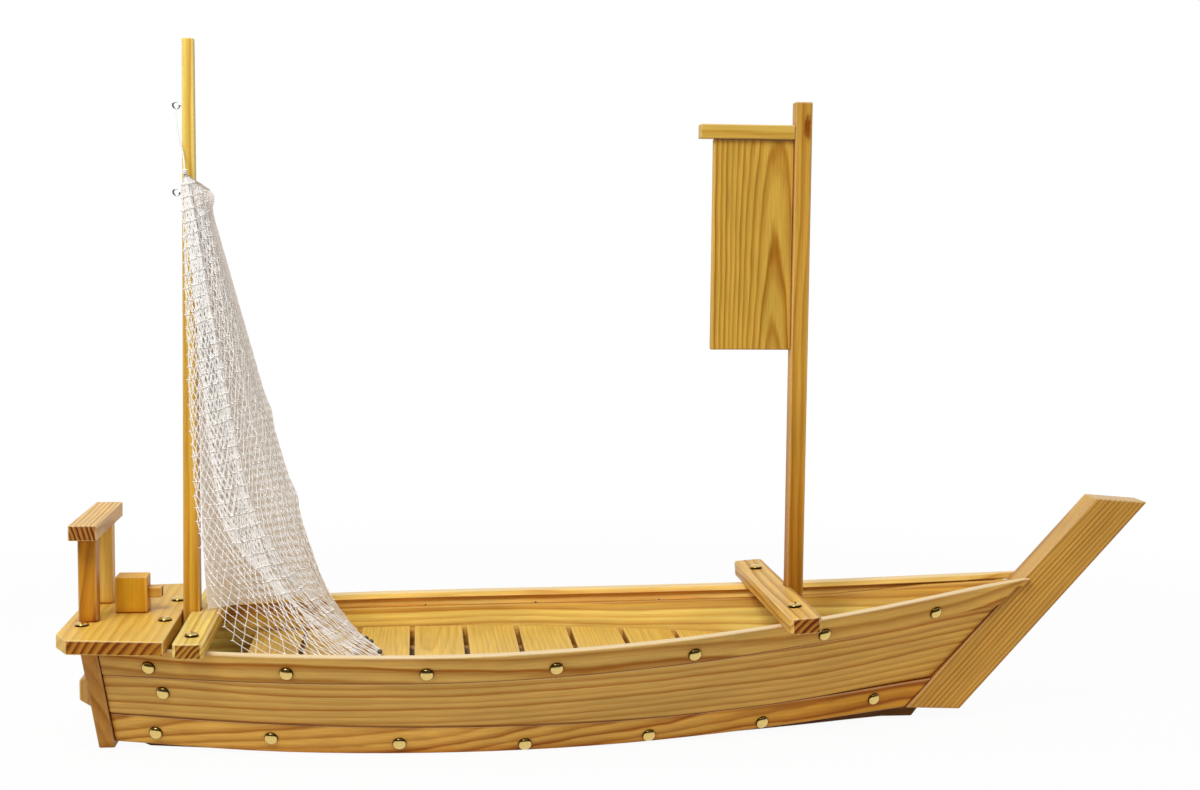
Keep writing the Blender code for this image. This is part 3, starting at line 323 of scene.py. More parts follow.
def pine_figure():
    """Growth rings about the pith of a sawn board, in metres; X of the board runs along the grain.

    Pine gives soft pale spring wood that darkens slowly into an orange line of summer wood and then breaks
    off sharply; its fibres draw fine streaks along the grain, and end grain drinks oil and goes brown.
    """
    tree = bpy.data.node_groups.new("pine_figure", "ShaderNodeTree")
    for name, kind in (("Board", "Vector"), ("Ring", "Float"), ("Early", "Color"), ("Late", "Color"),
                       ("End", "Float"), ("Figure", "Float")):
        tree.interface.new_socket(name, in_out="INPUT", socket_type="NodeSocket" + kind)
    for name, kind in (("Colour", "Color"), ("Roughness", "Float"), ("Height", "Float")):
        tree.interface.new_socket(name, in_out="OUTPUT", socket_type="NodeSocket" + kind)
    given = node(tree, "NodeGroupInput").outputs

    def waver(scale, detail):
        """Noise drawn out along the grain."""
        place = node(tree, "ShaderNodeMapping", {"Vector": given["Board"], "Scale": scale})
        return noise(tree, place.outputs[0], 1.0, detail)

    # The trunk was never quite round or straight: slow wavers 250 by 45 mm, small ones 30 by 6 mm
    slow = calc(tree, "MULTIPLY", waver(*SLOW_WAVER), SLOW_PUSH)
    small = calc(tree, "MULTIPLY", waver(*SMALL_WAVER), SMALL_PUSH)
    radius = vector_calc(tree, "LENGTH", vector_calc(tree, "MULTIPLY", given["Board"], (0.0, 1.0, 1.0)))
    bent = calc(tree, "ADD", radius, calc(tree, "ADD", slow, small))
    rings = calc(tree, "DIVIDE", bent, given["Ring"])

    growth = node(tree, "ShaderNodeValToRGB", {"Fac": calc(tree, "FRACT", rings)})
    growth.color_ramp.interpolation = "EASE"
    for place, value in SUMMER_WOOD:
        growth.color_ramp.elements.new(place).color = (value, value, value, 1.0)
    growth.color_ramp.elements[-1].color = (0.0, 0.0, 0.0, 1.0)
    year = calc(tree, "FLOOR", rings)
    luck = node(tree, "ShaderNodeTexWhiteNoise", {"W": year}, noise_dimensions="1D").outputs["Value"]
    weight = ramp(tree, luck, (0.0, 1.0), RING_WEIGHTS)
    lines = calc(tree, "MULTIPLY", growth.outputs["Color"], weight)
    dark = calc(tree, "MULTIPLY", lines, given["Figure"], use_clamp=True)

    # Fibres: streaks about 50 by 1.4 mm, over clouds about 90 by 30 mm
    fibre = waver(*FIBRES)
    cloud = waver(*CLOUDS)

    long_grain = mix(tree, dark, given["Early"], given["Late"])
    end_early = mix(tree, 1.0, given["Early"], END_EARLY_TONE, "MULTIPLY")
    end_late = mix(tree, 1.0, given["Late"], END_LATE_TONE, "MULTIPLY")
    end_dark = calc(tree, "MULTIPLY", lines, END_LINES, use_clamp=True)
    sawn = mix(tree, given["End"], long_grain, mix(tree, end_dark, end_early, end_late))
    streaks = ramp(tree, fibre, NOISE_RANGE, STREAK_TONES)
    tone = calc(tree, "MULTIPLY", streaks, ramp(tree, cloud, NOISE_RANGE, CLOUD_TONES))
    colour = node(tree, "ShaderNodeVectorMath", {0: sawn, "Scale": tone}, operation="SCALE").outputs[0]

    rough = ramp(tree, fibre, NOISE_RANGE, PINE_ROUGHNESS)
    end_rough = calc(tree, "MULTIPLY_ADD", given["End"], END_ROUGHNESS, rough)
    ridge = calc(tree, "MULTIPLY_ADD", fibre, FIBRE_RELIEF, dark)
    node(tree, "NodeGroupOutput", {"Colour": colour, "Roughness": end_rough, "Height": ridge})
    return tree


def finish_pine(name, figure, place_board, grain, ring, early, late, contrast, bleached, ends=1.0, corner_shade_strength=1.0,
                corner=CORNER, knot=None, tone_changes=()):
    """Oiled pine, planed and sanded: a satin skin over the figure, with the grain just felt in relief.

    Shade is painted into the laps and corners, within a few millimetres of the joint, in a dark
    orange-brown. A highlight is painted in cream along each arris that faces up, and shade along each arris
    that faces down;
    faces that look up are painted paler, as painted light, and end grain there is not darkened. A knot is a
    dark spot, drawn out along the grain. The changes of tone run along a measure of the board: painted shade
    darkens a mast toward its foot, painted light pales the upper starboard planks toward the bow, heartwood
    changes the lower strake there, painted shade lies under the lip, and dirt and painted shade darken the
    seam.
    """
    material, tree, shader = new_material(name)
    normal = node(tree, "ShaderNodeNewGeometry").outputs["Normal"]
    turned = calc(tree, "ABSOLUTE", vector_calc(tree, "DOT_PRODUCT", normal, grain))
    end = ramp(tree, turned, END_TURN, (0.0, ends))
    # Painted highlight: end grain on faces that look up is not darkened.
    side = ramp(tree, parts(tree, normal)[2], TOP_TURN, (1.0, 0.0))
    side_end = calc(tree, "MULTIPLY", end, side)
    cut = {"Board": place_board(tree), "Ring": ring, "Early": linear(early), "Late": linear(late),
           "End": side_end, "Figure": contrast}
    pattern = node(tree, "ShaderNodeGroup", cut, node_tree=figure).outputs
    relief = node(tree, "ShaderNodeBump", {"Height": pattern["Height"], **GRAIN_RELIEF})
    # Painted shade: near joints, in laps and in corners the colour is darkened toward a dark orange-brown.
    around = node(tree, "ShaderNodeAmbientOcclusion", {"Distance": corner[0]}, samples=CORNER_SAMPLES)
    painted_corner_shade = ramp(tree, around.outputs["AO"], corner[1:], (corner_shade_strength, 0.0))
    body = mix(tree, painted_corner_shade, pattern["Colour"], CORNER_SHADE_TONE, "MULTIPLY")
    if knot:
        body = knotted(tree, body, *knot)
    for measure, full, none, tone in tone_changes:
        body = mix(tree, smooth_ramp(tree, measure(tree), (none, full)), body, tone, "MULTIPLY")

    # Painted highlight in cream on arrises that face up, outside the painted corner shade, and painted shade
    # on arrises that face down.
    rounded = node(tree, "ShaderNodeBevel", {"Radius": ARRIS_RADIUS}, samples=ARRIS_SAMPLES).outputs[0]
    arris = ramp(tree, vector_calc(tree, "DOT_PRODUCT", rounded, normal), ARRIS_BEND)
    lean = parts(tree, rounded)[2]
    rubbed = calc(tree, "MULTIPLY", arris, calc(tree, "SUBTRACT", 1.0, painted_corner_shade))
    pale = calc(tree, "MULTIPLY", rubbed, ramp(tree, lean, ARRIS_HIGHLIGHT_LEAN, (0.0, ARRIS_HIGHLIGHT_SHARE)))
    arris_shade = calc(tree, "MULTIPLY", arris, ramp(tree, lean, ARRIS_SHADE_LEAN, (0.0, ARRIS_SHADE_SHARE)))
    edge_shaded = mix(tree, arris_shade, body, ARRIS_SHADE_TONE, "MULTIPLY")
    # Painted highlight: bleached sets how far faces that look up are painted toward cream; the arris
    # highlight adds to it.
    painted_highlight = calc(tree, "MAXIMUM", ramp(tree, side, (0.0, 1.0), (bleached, 0.0)), pale)
    tree.links.new(mix(tree, painted_highlight, edge_shaded, linear(HIGHLIGHT_CREAM)), shader.inputs["Base Color"])
    tree.links.new(pattern["Roughness"], shader.inputs["Roughness"])
    tree.links.new(relief.outputs[0], shader.inputs["Normal"])
    shader.inputs["Specular IOR Level"].default_value = PINE_SHEEN
    return material


def along_keel(tree):
    """How far forward a place on a piece lies."""
    return parts(tree, own_place(tree))[0]


def above_foot(tree):
    """How high a place on a piece lies."""
    return parts(tree, own_place(tree))[2]


def above_sheer(tree):
    """How high a place on a plank lies, measured from the sheer."""
    return calc(tree, "SUBTRACT", above_foot(tree), hull_curve(tree, along_keel(tree), SHEER_HEIGHTS))


def above_seam(tree):
    """How high a place on a plank lies, measured from the seam over the lower strake."""
    return calc(tree, "SUBTRACT", above_foot(tree), hull_curve(tree, along_keel(tree), SEAM_HEIGHTS))


def knotted(tree, colour, place, reach):
    """The colour of a board with a knot in it, whose brown fades unevenly along the grain."""
    share = vector_calc(tree, "DIVIDE", vector_calc(tree, "SUBTRACT", own_place(tree), place), reach)
    flame = noise(tree, share, *KNOT_FLAME)
    ragged = calc(tree, "MULTIPLY_ADD", flame, KNOT_RAGGED, vector_calc(tree, "LENGTH", share))
    return mix(tree, smooth_ramp(tree, ragged, KNOT_EDGE), colour, KNOT_TONE, "MULTIPLY")


def straight_pine(name, figure, turn, pith, ring, early, late, contrast, bleached=0.0, **marks):
    """Pine of a straight board; turn brings its grain to X, and pith is a point on the heart of the trunk.

    Marks are a knot, changes of tone, or how much oil the ends drink and how much painted shade corners get,
    if not all.
    """
    matrix = Euler(turn).to_matrix()
    shift = -(matrix @ Vector(pith))

    def place_board(tree):
        placing = {"Vector": own_place(tree), "Rotation": turn, "Location": shift}
        return node(tree, "ShaderNodeMapping", placing).outputs[0]
    return finish_pine(name, figure, place_board, matrix[0], ring, early, late, contrast, bleached, **marks)


def hull_curve(tree, x, values):
    """A smooth line of the hull, read from X through the values at the stations."""
    curve = node(tree, "ShaderNodeFloatCurve", {"Value": ramp(tree, x, CURVE_SPAN)})
    points = curve.mapping.curves[0].points
    while len(points) < len(values):
        points.new(0.5, 0.5)
    for point, station, value in zip(points, STATION_X, values):
        along = (station - CURVE_SPAN[0]) / (CURVE_SPAN[1] - CURVE_SPAN[0])
        point.location = (along, value / CURVE_HEIGHT)
    curve.mapping.update()
    return calc(tree, "MULTIPLY", curve.outputs[0], CURVE_HEIGHT)


def bent_pine(name, figure, line, pith, tilt, ring, early, late, contrast, bleached=0.0, **marks):
    """Pine of a bent plank, whose grain follows a line of the hull; pith lies along, inside and above it."""
    grain = (1.0, 0.0, 0.0)

    def place_board(tree):
        x, y, z = parts(tree, own_place(tree))
        inward = calc(tree, "SUBTRACT", hull_curve(tree, x, HALF_BREADTHS), calc(tree, "ABSOLUTE", y))
        upward = calc(tree, "SUBTRACT", z, hull_curve(tree, x, line))
        slanted = calc(tree, "MULTIPLY_ADD", x, tilt, inward)
        joined = node(tree, "ShaderNodeCombineXYZ", {0: x, 1: slanted, 2: upward}).outputs[0]
        return vector_calc(tree, "SUBTRACT", joined, pith)
    return finish_pine(name, figure, place_board, grain, ring, early, late, contrast, bleached, **marks)


def mottled(name, scale, detail, colours, roughness, metallic=0.0):
    """A material whose colour and gloss vary in small patches, with the nodes that it can be built on."""
    material, tree, shader = new_material(name)
    patches = noise(tree, own_place(tree), scale, detail)
    colour = mix(tree, patches, linear(colours[0]), linear(colours[1]))
    tree.links.new(colour, shader.inputs["Base Color"])
    tree.links.new(ramp(tree, patches, (0.0, 1.0), roughness), shader.inputs["Roughness"])
    shader.inputs["Metallic"].default_value = metallic
    return material, tree, shader, colour, patches


def polished_brass():
    """Stamped and tumbled brass: bright yellow metal with a faint haze.

    Its dark brown rim is painted shade where the head meets the wood, and a painted reflection of the wood.
    """
    material, tree, shader, metal, _ = mottled(
        "polished_brass", scale=450.0, detail=2.0, colours=("#E6CC82", "#CBA85C"), roughness=(0.05, 0.14),
        metallic=1.0)
    across = vector_calc(tree, "MULTIPLY", own_place(tree), (1.0, 1.0, 0.0))
    # Painted shade and painted reflection: the rim of each head is darkened to brown.
    rim = smooth_ramp(tree, vector_calc(tree, "LENGTH", across), NAIL_RIM_SHADE)
    tree.links.new(mix(tree, rim, metal, linear("#4E3810")), shader.inputs["Base Color"])
    return material


def zinc_plated_steel():
    """Drawn wire with a zinc coat: cool grey, in brighter and duller patches about a millimetre across."""
    material, *_ = mottled(
        "zinc_plated_steel", scale=900.0, detail=2.0, colours=("#C9C7C1", "#8E8C88"),
        roughness=(0.22, 0.42), metallic=1.0)
    return material


def cast_lead():
    """Cast lead: dull dark grey, with paler rubbed patches and a grainy skin."""
    material, tree, shader, _, grain = mottled(
        "cast_lead", scale=700.0, detail=3.0, colours=("#3A3733", "#7A7670"), roughness=(0.22, 0.42),
        metallic=0.85)
    relief = node(tree, "ShaderNodeBump", {"Height": grain, **LEAD_RELIEF})
    tree.links.new(relief.outputs[0], shader.inputs["Normal"])
    return material


def cotton_twine(name, light, dark):
    """Cotton twine: matt warm white, a little greyer where the lay of the yarn turns under.

    The lay is far finer than the render can show, so it is drawn as patches about 5 mm long.
    """
    material, *_ = mottled(name, scale=200.0, detail=2.0, colours=(light, dark), roughness=(0.65, 0.90))
    return material


def place_camera():
    """Camera at the photograph's view."""
    forward = Vector((math.sin(CAMERA_YAW) * math.cos(CAMERA_PITCH),
                      math.cos(CAMERA_YAW) * math.cos(CAMERA_PITCH), -math.sin(CAMERA_PITCH)))
    level = Vector((math.cos(CAMERA_YAW), -math.sin(CAMERA_YAW), 0.0))
    upright = level.cross(forward)
    right = math.cos(CAMERA_ROLL) * level + math.sin(CAMERA_ROLL) * upright
    up = math.cos(CAMERA_ROLL) * upright - math.sin(CAMERA_ROLL) * level
    turn = Matrix((right, up, -forward)).transposed().to_4x4()
    camera = bpy.data.objects.new("camera", bpy.data.cameras.new("camera"))
    camera.data.lens = CAMERA_LENS_MM
    camera.data.sensor_width = CAMERA_SENSOR_MM
    camera.matrix_world = Matrix.Translation(CAMERA_PLACE) @ turn
    bpy.context.scene.collection.objects.link(camera)
    bpy.context.scene.camera = camera


def seen_directly(path, tree):
    """1 for rays that show the studio itself: to the camera, in a reflection or through glass."""
    mirrored = calc(tree, "MAXIMUM", path["Is Glossy Ray"], path["Is Transmission Ray"])
    return calc(tree, "MAXIMUM", path["Is Camera Ray"], mirrored)


def room_shade(tree, path, share):
    """How white the studio shows: the dim room, where it lies, darkens reflections alone."""
    mirrored = calc(tree, "MULTIPLY", share, path["Is Glossy Ray"])
    return ramp(tree, mirrored, (0.0, 1.0), (1.0, 1.0 - ROOM_SHADE))


def build_studio():
    """White sweep, a soft overhead key to the left, a dome of fill that is brighter above, and a dim room.

    The room is on the camera's side and shows only in reflections, as it does in polished brass.
    """
    world = bpy.data.worlds.new("studio")
    bpy.context.scene.world = world
    tree = empty_tree(world)
    path = node(tree, "ShaderNodeLightPath").outputs
    _, away, height = parts(tree, node(tree, "ShaderNodeTexCoord").outputs["Generated"])
    lift = ramp(tree, height, (0.0, 1.0), DOME_STRENGTHS)
    beside = smooth_ramp(tree, away, ROOM_SIDE)
    room = calc(tree, "MULTIPLY", beside, smooth_ramp(tree, height, ROOM_HEIGHT))
    dome = node(tree, "ShaderNodeBackground", {"Color": WHITE, "Strength": lift})
    sweep = node(tree, "ShaderNodeBackground", {"Color": WHITE, "Strength": room_shade(tree, path, room)})
    both = node(tree, "ShaderNodeMixShader", {0: seen_directly(path, tree), 1: dome.outputs[0],
                                              2: sweep.outputs[0]})
    node(tree, "ShaderNodeOutputWorld", {"Surface": both.outputs[0]})

    key = bpy.data.objects.new("key_softbox", bpy.data.lights.new("key_softbox", "AREA"))
    key.data.shape = "DISK"
    key.data.size = KEY_SIZE
    key.data.energy = KEY_WATTS
    key.location = KEY_PLACE
    key.rotation_euler = (KEY_AIM - KEY_PLACE).to_track_quat("-Z", "Y").to_euler()
    bpy.context.scene.collection.objects.link(key)

    mesh = bpy.data.meshes.new("floor")
    corners = [(x * FLOOR_HALF, y * FLOOR_HALF, 0.0) for x, y in ((-1, -1), (1, -1), (1, 1), (-1, 1))]
    mesh.from_pydata(corners, [], [(0, 1, 2, 3)])
    floor = bpy.data.objects.new("floor", mesh)
    floor.data.materials.append(studio_floor())
    bpy.context.scene.collection.objects.link(floor)


def studio_floor():
    """Matt white table: it keeps a soft shadow near the boat, and runs out to a plain white sweep.

    Reflections show where the table ends on the camera's side and the dim room begins.
    """
    material = bpy.data.materials.new("matt_white_table")
    tree = empty_tree(material)
    path = node(tree, "ShaderNodeLightPath").outputs
    place = own_place(tree)
    rim = smooth_ramp(tree, vector_calc(tree, "LENGTH", place), FLOOR_RADII)
    white = ramp(tree, rim, (0.0, 1.0), (FLOOR_WHITENESS, 1.0))
    share = calc(tree, "MULTIPLY", white, seen_directly(path, tree))
    front = smooth_ramp(tree, parts(tree, place)[1], TABLE_FRONT)
    paint = mix(tree, rim, linear(TABLE_PAINTS[0]), linear(TABLE_PAINTS[1]))
    matt = node(tree, "ShaderNodeBsdfDiffuse", {"Color": paint})
    glow = node(tree, "ShaderNodeEmission", {"Color": WHITE, "Strength": room_shade(tree, path, front)})
    both = node(tree, "ShaderNodeMixShader", {0: share, 1: matt.outputs[0], 2: glow.outputs[0]})
    node(tree, "ShaderNodeOutputMaterial", {"Surface": both.outputs[0]})
    return material


def add_piece(name, data, material, body):
    """Link a piece to the scene, on its body, with its material if its mesh has none."""
    piece = bpy.data.objects.new(name, data)
    if not data.materials:
        data.materials.append(material)
    bpy.context.scene.collection.objects.link(piece)
    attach(piece, body)
    return piece


def lathe_mesh(name, profile, sides, closed):
    """A smooth shape turned about Z from radius and height; a closed profile makes a ring."""
    points = []
    faces = []
    count = len(profile)
    for turn in range(sides):
        angle = 2.0 * math.pi * turn / sides
        points += [(radius * math.cos(angle), radius * math.sin(angle), height)
                   for radius, height in profile]
        start = turn * count
        after = (turn + 1) % sides * count
        for step in range(count if closed else count - 1):
            here = step
            there = (step + 1) % count
            faces.append((start + here, after + here, after + there, start + there))
    mesh = bpy.data.meshes.new(name)
    mesh.from_pydata(points, [], faces)
    mesh.shade_smooth()
    return mesh


def facing(point, direction):
    """Placement whose Z axis runs along a direction."""
    return Matrix.Translation(point) @ direction.to_track_quat("Z", "Y").to_matrix().to_4x4()


def dome_mesh():
    """Domed head of a nail on a short skirt."""
    step = (math.pi / 2 - NAIL_CROWN) / NAIL_STEPS
    turns = [NAIL_CROWN + index * step for index in range(NAIL_STEPS + 1)]
    profile = [(NAIL_RADIUS * math.sin(turn), NAIL_SKIRT + NAIL_HEIGHT * math.cos(turn)) for turn in turns]
    return lathe_mesh("dome_nail", profile + [(NAIL_RADIUS, 0.0)], NAIL_SIDES, False)


def nail_seat(cad_nail):
    """Foot of a packed nail's head and the way it faces, from the line between its crown and its point."""
    places = [vertex.co for vertex in cad_nail.data.vertices]
    middle = sum(places, Vector()) / len(places)
    tip = max(places, key=lambda place: (place - middle).length)
    far = [place for place in places if (place - tip).length < NAIL_HEIGHT / 2]
    tip = sum(far, Vector()) / len(far)
    reach = max((place - tip).length for place in places)
    crown = max(places, key=lambda place: (place - tip).length)
    direction = (crown - tip).normalized()
    return tip + direction * (reach - NAIL_HEIGHT), direction


def add_nails(frame, brass):
    """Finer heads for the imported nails, and the nails of the lower rows and the deck."""
    dome = dome_mesh()
    for name, cad in frame["nodes"].items():
        if name.endswith("_nail") or "_nail_" in name:
            point, direction = nail_seat(cad)
            piece = add_piece(name + "_head", dome, brass, "hull")
            piece.matrix_world = facing(point, direction)
            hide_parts(name)
    for word, side in (("starboard", -1.0), ("port", 1.0)):
        inward = (0.0, -side, 0.0)
        drives = [(f"{word}_lower_nail_{index + 1}", word + "_lower_strake", (x, side, z), inward)
                  for index, (x, z) in enumerate(LOWER_NAILS)]
        drives.append((word + "_mid_nail", word + "_side_plank", (MID_NAIL[0], side, MID_NAIL[1]), inward))
        drives += [(f"{word}_deck_nail_{index + 1}", "aft_deck", (x, side * y, 1.0), (0.0, 0.0, -1.0))
                   for index, (x, y) in enumerate(DECK_NAILS)]
        for name, target, start, way in drives:
            hit, point, normal, _ = frame["nodes"][target].ray_cast(Vector(start), Vector(way))
            if not hit:
                raise RuntimeError(name + " meets no wood")
            piece = add_piece(name, dome, brass, "hull")
            piece.matrix_world = facing(point, normal)


def smooth_point(places, share):
    """Point of a smooth curve through a few places, at a share of its spans."""
    padded = [places[0] * 2 - places[1], *places, places[-1] * 2 - places[-2]]
    spans = len(places) - 1
    along = min(max(share, 0.0) * spans, spans - 1e-9)
    index = int(along)
    t = along - index
    p0, p1, p2, p3 = padded[index:index + 4]
    return 0.5 * (2.0 * p1 + (p2 - p0) * t + (2.0 * p0 - 5.0 * p1 + 4.0 * p2 - p3) * t ** 2
                  + (3.0 * p1 - p0 - 3.0 * p2 + p3) * t ** 3)


def ease(value, ends):
    """Smooth rise from 0 to 1 between two ends."""
    value = min(max((value - ends[0]) / (ends[1] - ends[0]), 0.0), 1.0)
    return value * value * (3.0 - 2.0 * value)


def between(ends, share):
    """Value at a share of the way between two ends."""
    return ends[0] + share * (ends[1] - ends[0])


def net_fan(layer, across, down):
    """Point of a layer of the net before it is folded: from the tie, over a shoulder, to the hem."""
    angle = math.radians(between(layer["angles"], across))
    arc = NET_TOP + NET_TOP_RADIUS * Vector((math.cos(angle), math.sin(angle), 0.0))
    top = NET_TIE.lerp(arc, ease(down, NET_SHOULDER))
    hem = smooth_point([Vector((x, y, NET_FLOOR)) for x, y in layer["hem"]], across)
    straight = between(layer["straightness"], across)
    point = top.lerp(hem, straight * down + (1.0 - straight) * down ** NET_FLARE_POWER)
    point.z = top.z + down * (hem.z - top.z)
    return point


def folded_share(across, closed):
    """Where in the width of the net a mesh lies: in the folds while they are closed, and spread below."""
    spans = len(NET_FOLD_MESHES) - 1
    index = min(sum(across >= place for place in NET_FOLD_MESHES) - 1, spans - 1)
    start, end = NET_FOLD_MESHES[index:index + 2]
    along = (index + (across - start) / (end - start)) / spans
    return between((smooth_point(NET_OPEN_SHARES, along), smooth_point(NET_FOLD_SHARES, along)), closed)


def net_point(layer, across, down):
    """Point of the hanging net; the front doubles back in several folds, which open out above the floor."""
    closed = 0.0
    share = across
    if layer["folded"]:
        closed = 1.0 - ease(down, NET_FOLD_OPENS)
        share = folded_share(across, closed)
    fall = down - NET_ROW_TILT * share * down * (1.0 - down)
    step = 0.5 / layer["meshes"]
    before = net_fan(layer, max(share - step, 0.0), fall)
    after = net_fan(layer, min(share + step, 1.0), fall)
    outward = (after - before).cross(Vector((0.0, 0.0, 1.0))).normalized()
    wave = math.sin(2.0 * math.pi * NET_PLEATS * share)
    pleat = layer["pleat"] / 2.0 * fall ** NET_PLEAT_POWER * math.sqrt(1.0 - fall) * wave
    tucked = NET_FOLD_GAP * closed * ease(across, NET_FOLD_TUCKS) * ease(fall, NET_SHOULDER)
    bulge = sum(reach * math.exp(-((down - middle) / height) ** 2) for middle, height, reach in NET_FLAPS)
    flap = ease(share, NET_FLAP_SIDE) * bulge
    behind = layer["behind"] * share * ease(fall, NET_SHOULDER)
    return net_fan(layer, share, fall) + outward * (pleat - tucked) + Vector((flap, behind, 0.0))


def add_strand(points, faces, start, end, radius):
    """A three-sided strand between two places."""
    along = (end - start).normalized()
    aside = along.orthogonal().normalized()
    first = len(points)
    for place in (start, end):
        for turn in range(3):
            spoke = Matrix.Rotation(turn * 2.0 * math.pi / 3.0, 3, along) @ aside
            points.append(place + radius * spoke)
    for turn in range(3):
        after = (turn + 1) % 3
        faces.append((first + turn, first + after, first + 3 + after, first + 3 + turn))


def add_knot(points, faces, place, reach):
    """A small eight-sided knot, drawn out along the row."""
    first = len(points)
    for way in ((1, 0, 0), (0, 1, 0), (-1, 0, 0), (0, -1, 0), (0, 0, 1), (0, 0, -1)):
        points.append(place + Vector(reach) * Vector(way))
    for turn in range(4):
        after = (turn + 1) % 4
        faces.append((first + turn, first + after, first + 4))
        faces.append((first + after, first + turn, first + 5))


def stray_way(index, row):
    """The way that one knot strays from its place, the same each time."""
    along, down, swing, swing_along, swing_down = NET_STRAY_TURNS
    turn = along * index + down * row + swing * math.sin(swing_along * index - swing_down * row)
    return Vector((math.sin(turn), math.cos(NET_STRAY_WAYS[0] * turn), math.sin(NET_STRAY_WAYS[1] * turn)))


def net_knots(layer):
    """Rows of knots; every other row is shifted by half a mesh, and no two knots are drawn quite alike."""
    rows = []
    for row in range(layer["rows"] + 1):
        odd = row % 2
        loose = layer["loose"] * ease(row / layer["rows"], NET_SHOULDER)
        knots = []
        for index in range(layer["meshes"] - odd + 1):
            across = (index + 0.5 * odd) / layer["meshes"]
            knot = net_point(layer, across, between(layer["reaches"], across) * row / layer["rows"])
            knots.append(knot + loose * stray_way(index, row))
        rows.append(knots)
    return rows


def add_net(front_twine, back_twine, lead):
    """Diamond net of knotted twine, tied in at the mast and weighted along its hem."""
    points = []
    faces = []
    materials = []
    for layer in (NET_FRONT, NET_BACK):
        rows = net_knots(layer)
        for index, (upper, lower) in enumerate(zip(rows, rows[1:])):
            for place, knot in enumerate(upper):
                for below in ((place - 1, place) if index % 2 == 0 else (place, place + 1)):
                    if 0 <= below < len(lower):
                        add_strand(points, faces, knot, lower[below], layer["twine"])
        if layer["knot"]:
            for knot in (knot for row in rows[::2] for knot in row):
                add_knot(points, faces, knot, layer["knot"])
        for start, end in zip(rows[-1], rows[-1][1:]):
            add_strand(points, faces, start, end, layer["hem_cord"])
        materials += [layer["material"]] * (len(faces) - len(materials))
    mesh = bpy.data.meshes.new("net_twine")
    mesh.from_pydata(points, [], faces)
    mesh.materials.append(front_twine)
    mesh.materials.append(back_twine)
    mesh.polygons.foreach_set("material_index", materials)
    net = add_piece("net_twine", mesh, front_twine, "aft_rig")
    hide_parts("net")
    sinkers = add_sinkers(lead)


def add_sinkers(lead):
    """Lead beads threaded on the hem of the net."""
    turns = [math.pi * index / SINKER_STEPS for index in range(SINKER_STEPS + 1)]
    barrel = [(SINKER_RADIUS * (SINKER_WAIST[0] + SINKER_WAIST[1] * math.sin(turn)),
               -SINKER_LENGTH / 2.0 * math.cos(turn)) for turn in turns]
    bore = [(SINKER_BORE, SINKER_LENGTH / 2.0), (SINKER_BORE, -SINKER_LENGTH / 2.0)]
    mesh = lathe_mesh("hem_sinker", barrel + bore, SINKER_SIDES, True)
    sinkers = []
    for index, share in enumerate(SINKER_SHARES):
        place = net_fan(NET_FRONT, share, 1.0)
        along = (net_fan(NET_FRONT, share + HEM_STEP, 1.0) - place).normalized()
        place.z = NET_FLOOR + SINKER_RADIUS
        sinker = add_piece(f"hem_sinker_{index + 1}", mesh, lead, "aft_rig")
        sinker.matrix_world = facing(place, along)
        sinkers.append(sinker)
    return sinkers


def add_whipping(twine):
    """Turns of string that bind the gathered top of the net."""
    coil = []
    for turn in range(WHIPPING_TURNS):
        height = (2.0 * turn + 1.0 - WHIPPING_TURNS) * STRING_RADIUS
        coil += [(WHIPPING_RADIUS + STRING_RADIUS * math.cos(angle),
                  height + STRING_RADIUS * math.sin(angle)) for angle in WHIPPING_ANGLES]
    inside = [(WHIPPING_RADIUS - STRING_RADIUS, coil[-1][1]), (WHIPPING_RADIUS - STRING_RADIUS, coil[0][1])]
    mesh = lathe_mesh("net_whipping", coil + inside, WHIPPING_SIDES, True)
    whipping = add_piece("net_whipping", mesh, twine, "aft_rig")
    whipping.matrix_world = facing(NET_TIE, WHIPPING_WAY)
    return whipping


def add_string(twine):
    """String from the upper hook round the mast to the gathered top of the net."""
    places = [Vector(place) for place in STRING_PLACES]
    route = [smooth_point(places, index / STRING_STEPS) for index in range(STRING_STEPS + 1)]
    curve = bpy.data.curves.new("net_string", "CURVE")
    curve.dimensions = "3D"
    curve.bevel_depth = STRING_RADIUS
    curve.bevel_resolution = STRING_ROUNDNESS
    curve.use_fill_caps = True
    spline = curve.splines.new("POLY")
    spline.points.add(len(route) - 1)
    for spot, place in zip(spline.points, route):
        spot.co = (*place, 1.0)
    string = add_piece("net_string", curve, twine, "aft_rig")
    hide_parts("net_cord")
    length = sum((end - start).length for start, end in zip(route, route[1:]))
    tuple(route[0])
    add_whipping(twine)


def dress(frame, name, material):
    """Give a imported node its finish."""
    cad = frame["nodes"][name]
    cad.data.materials.clear()
    cad.data.materials.append(material)


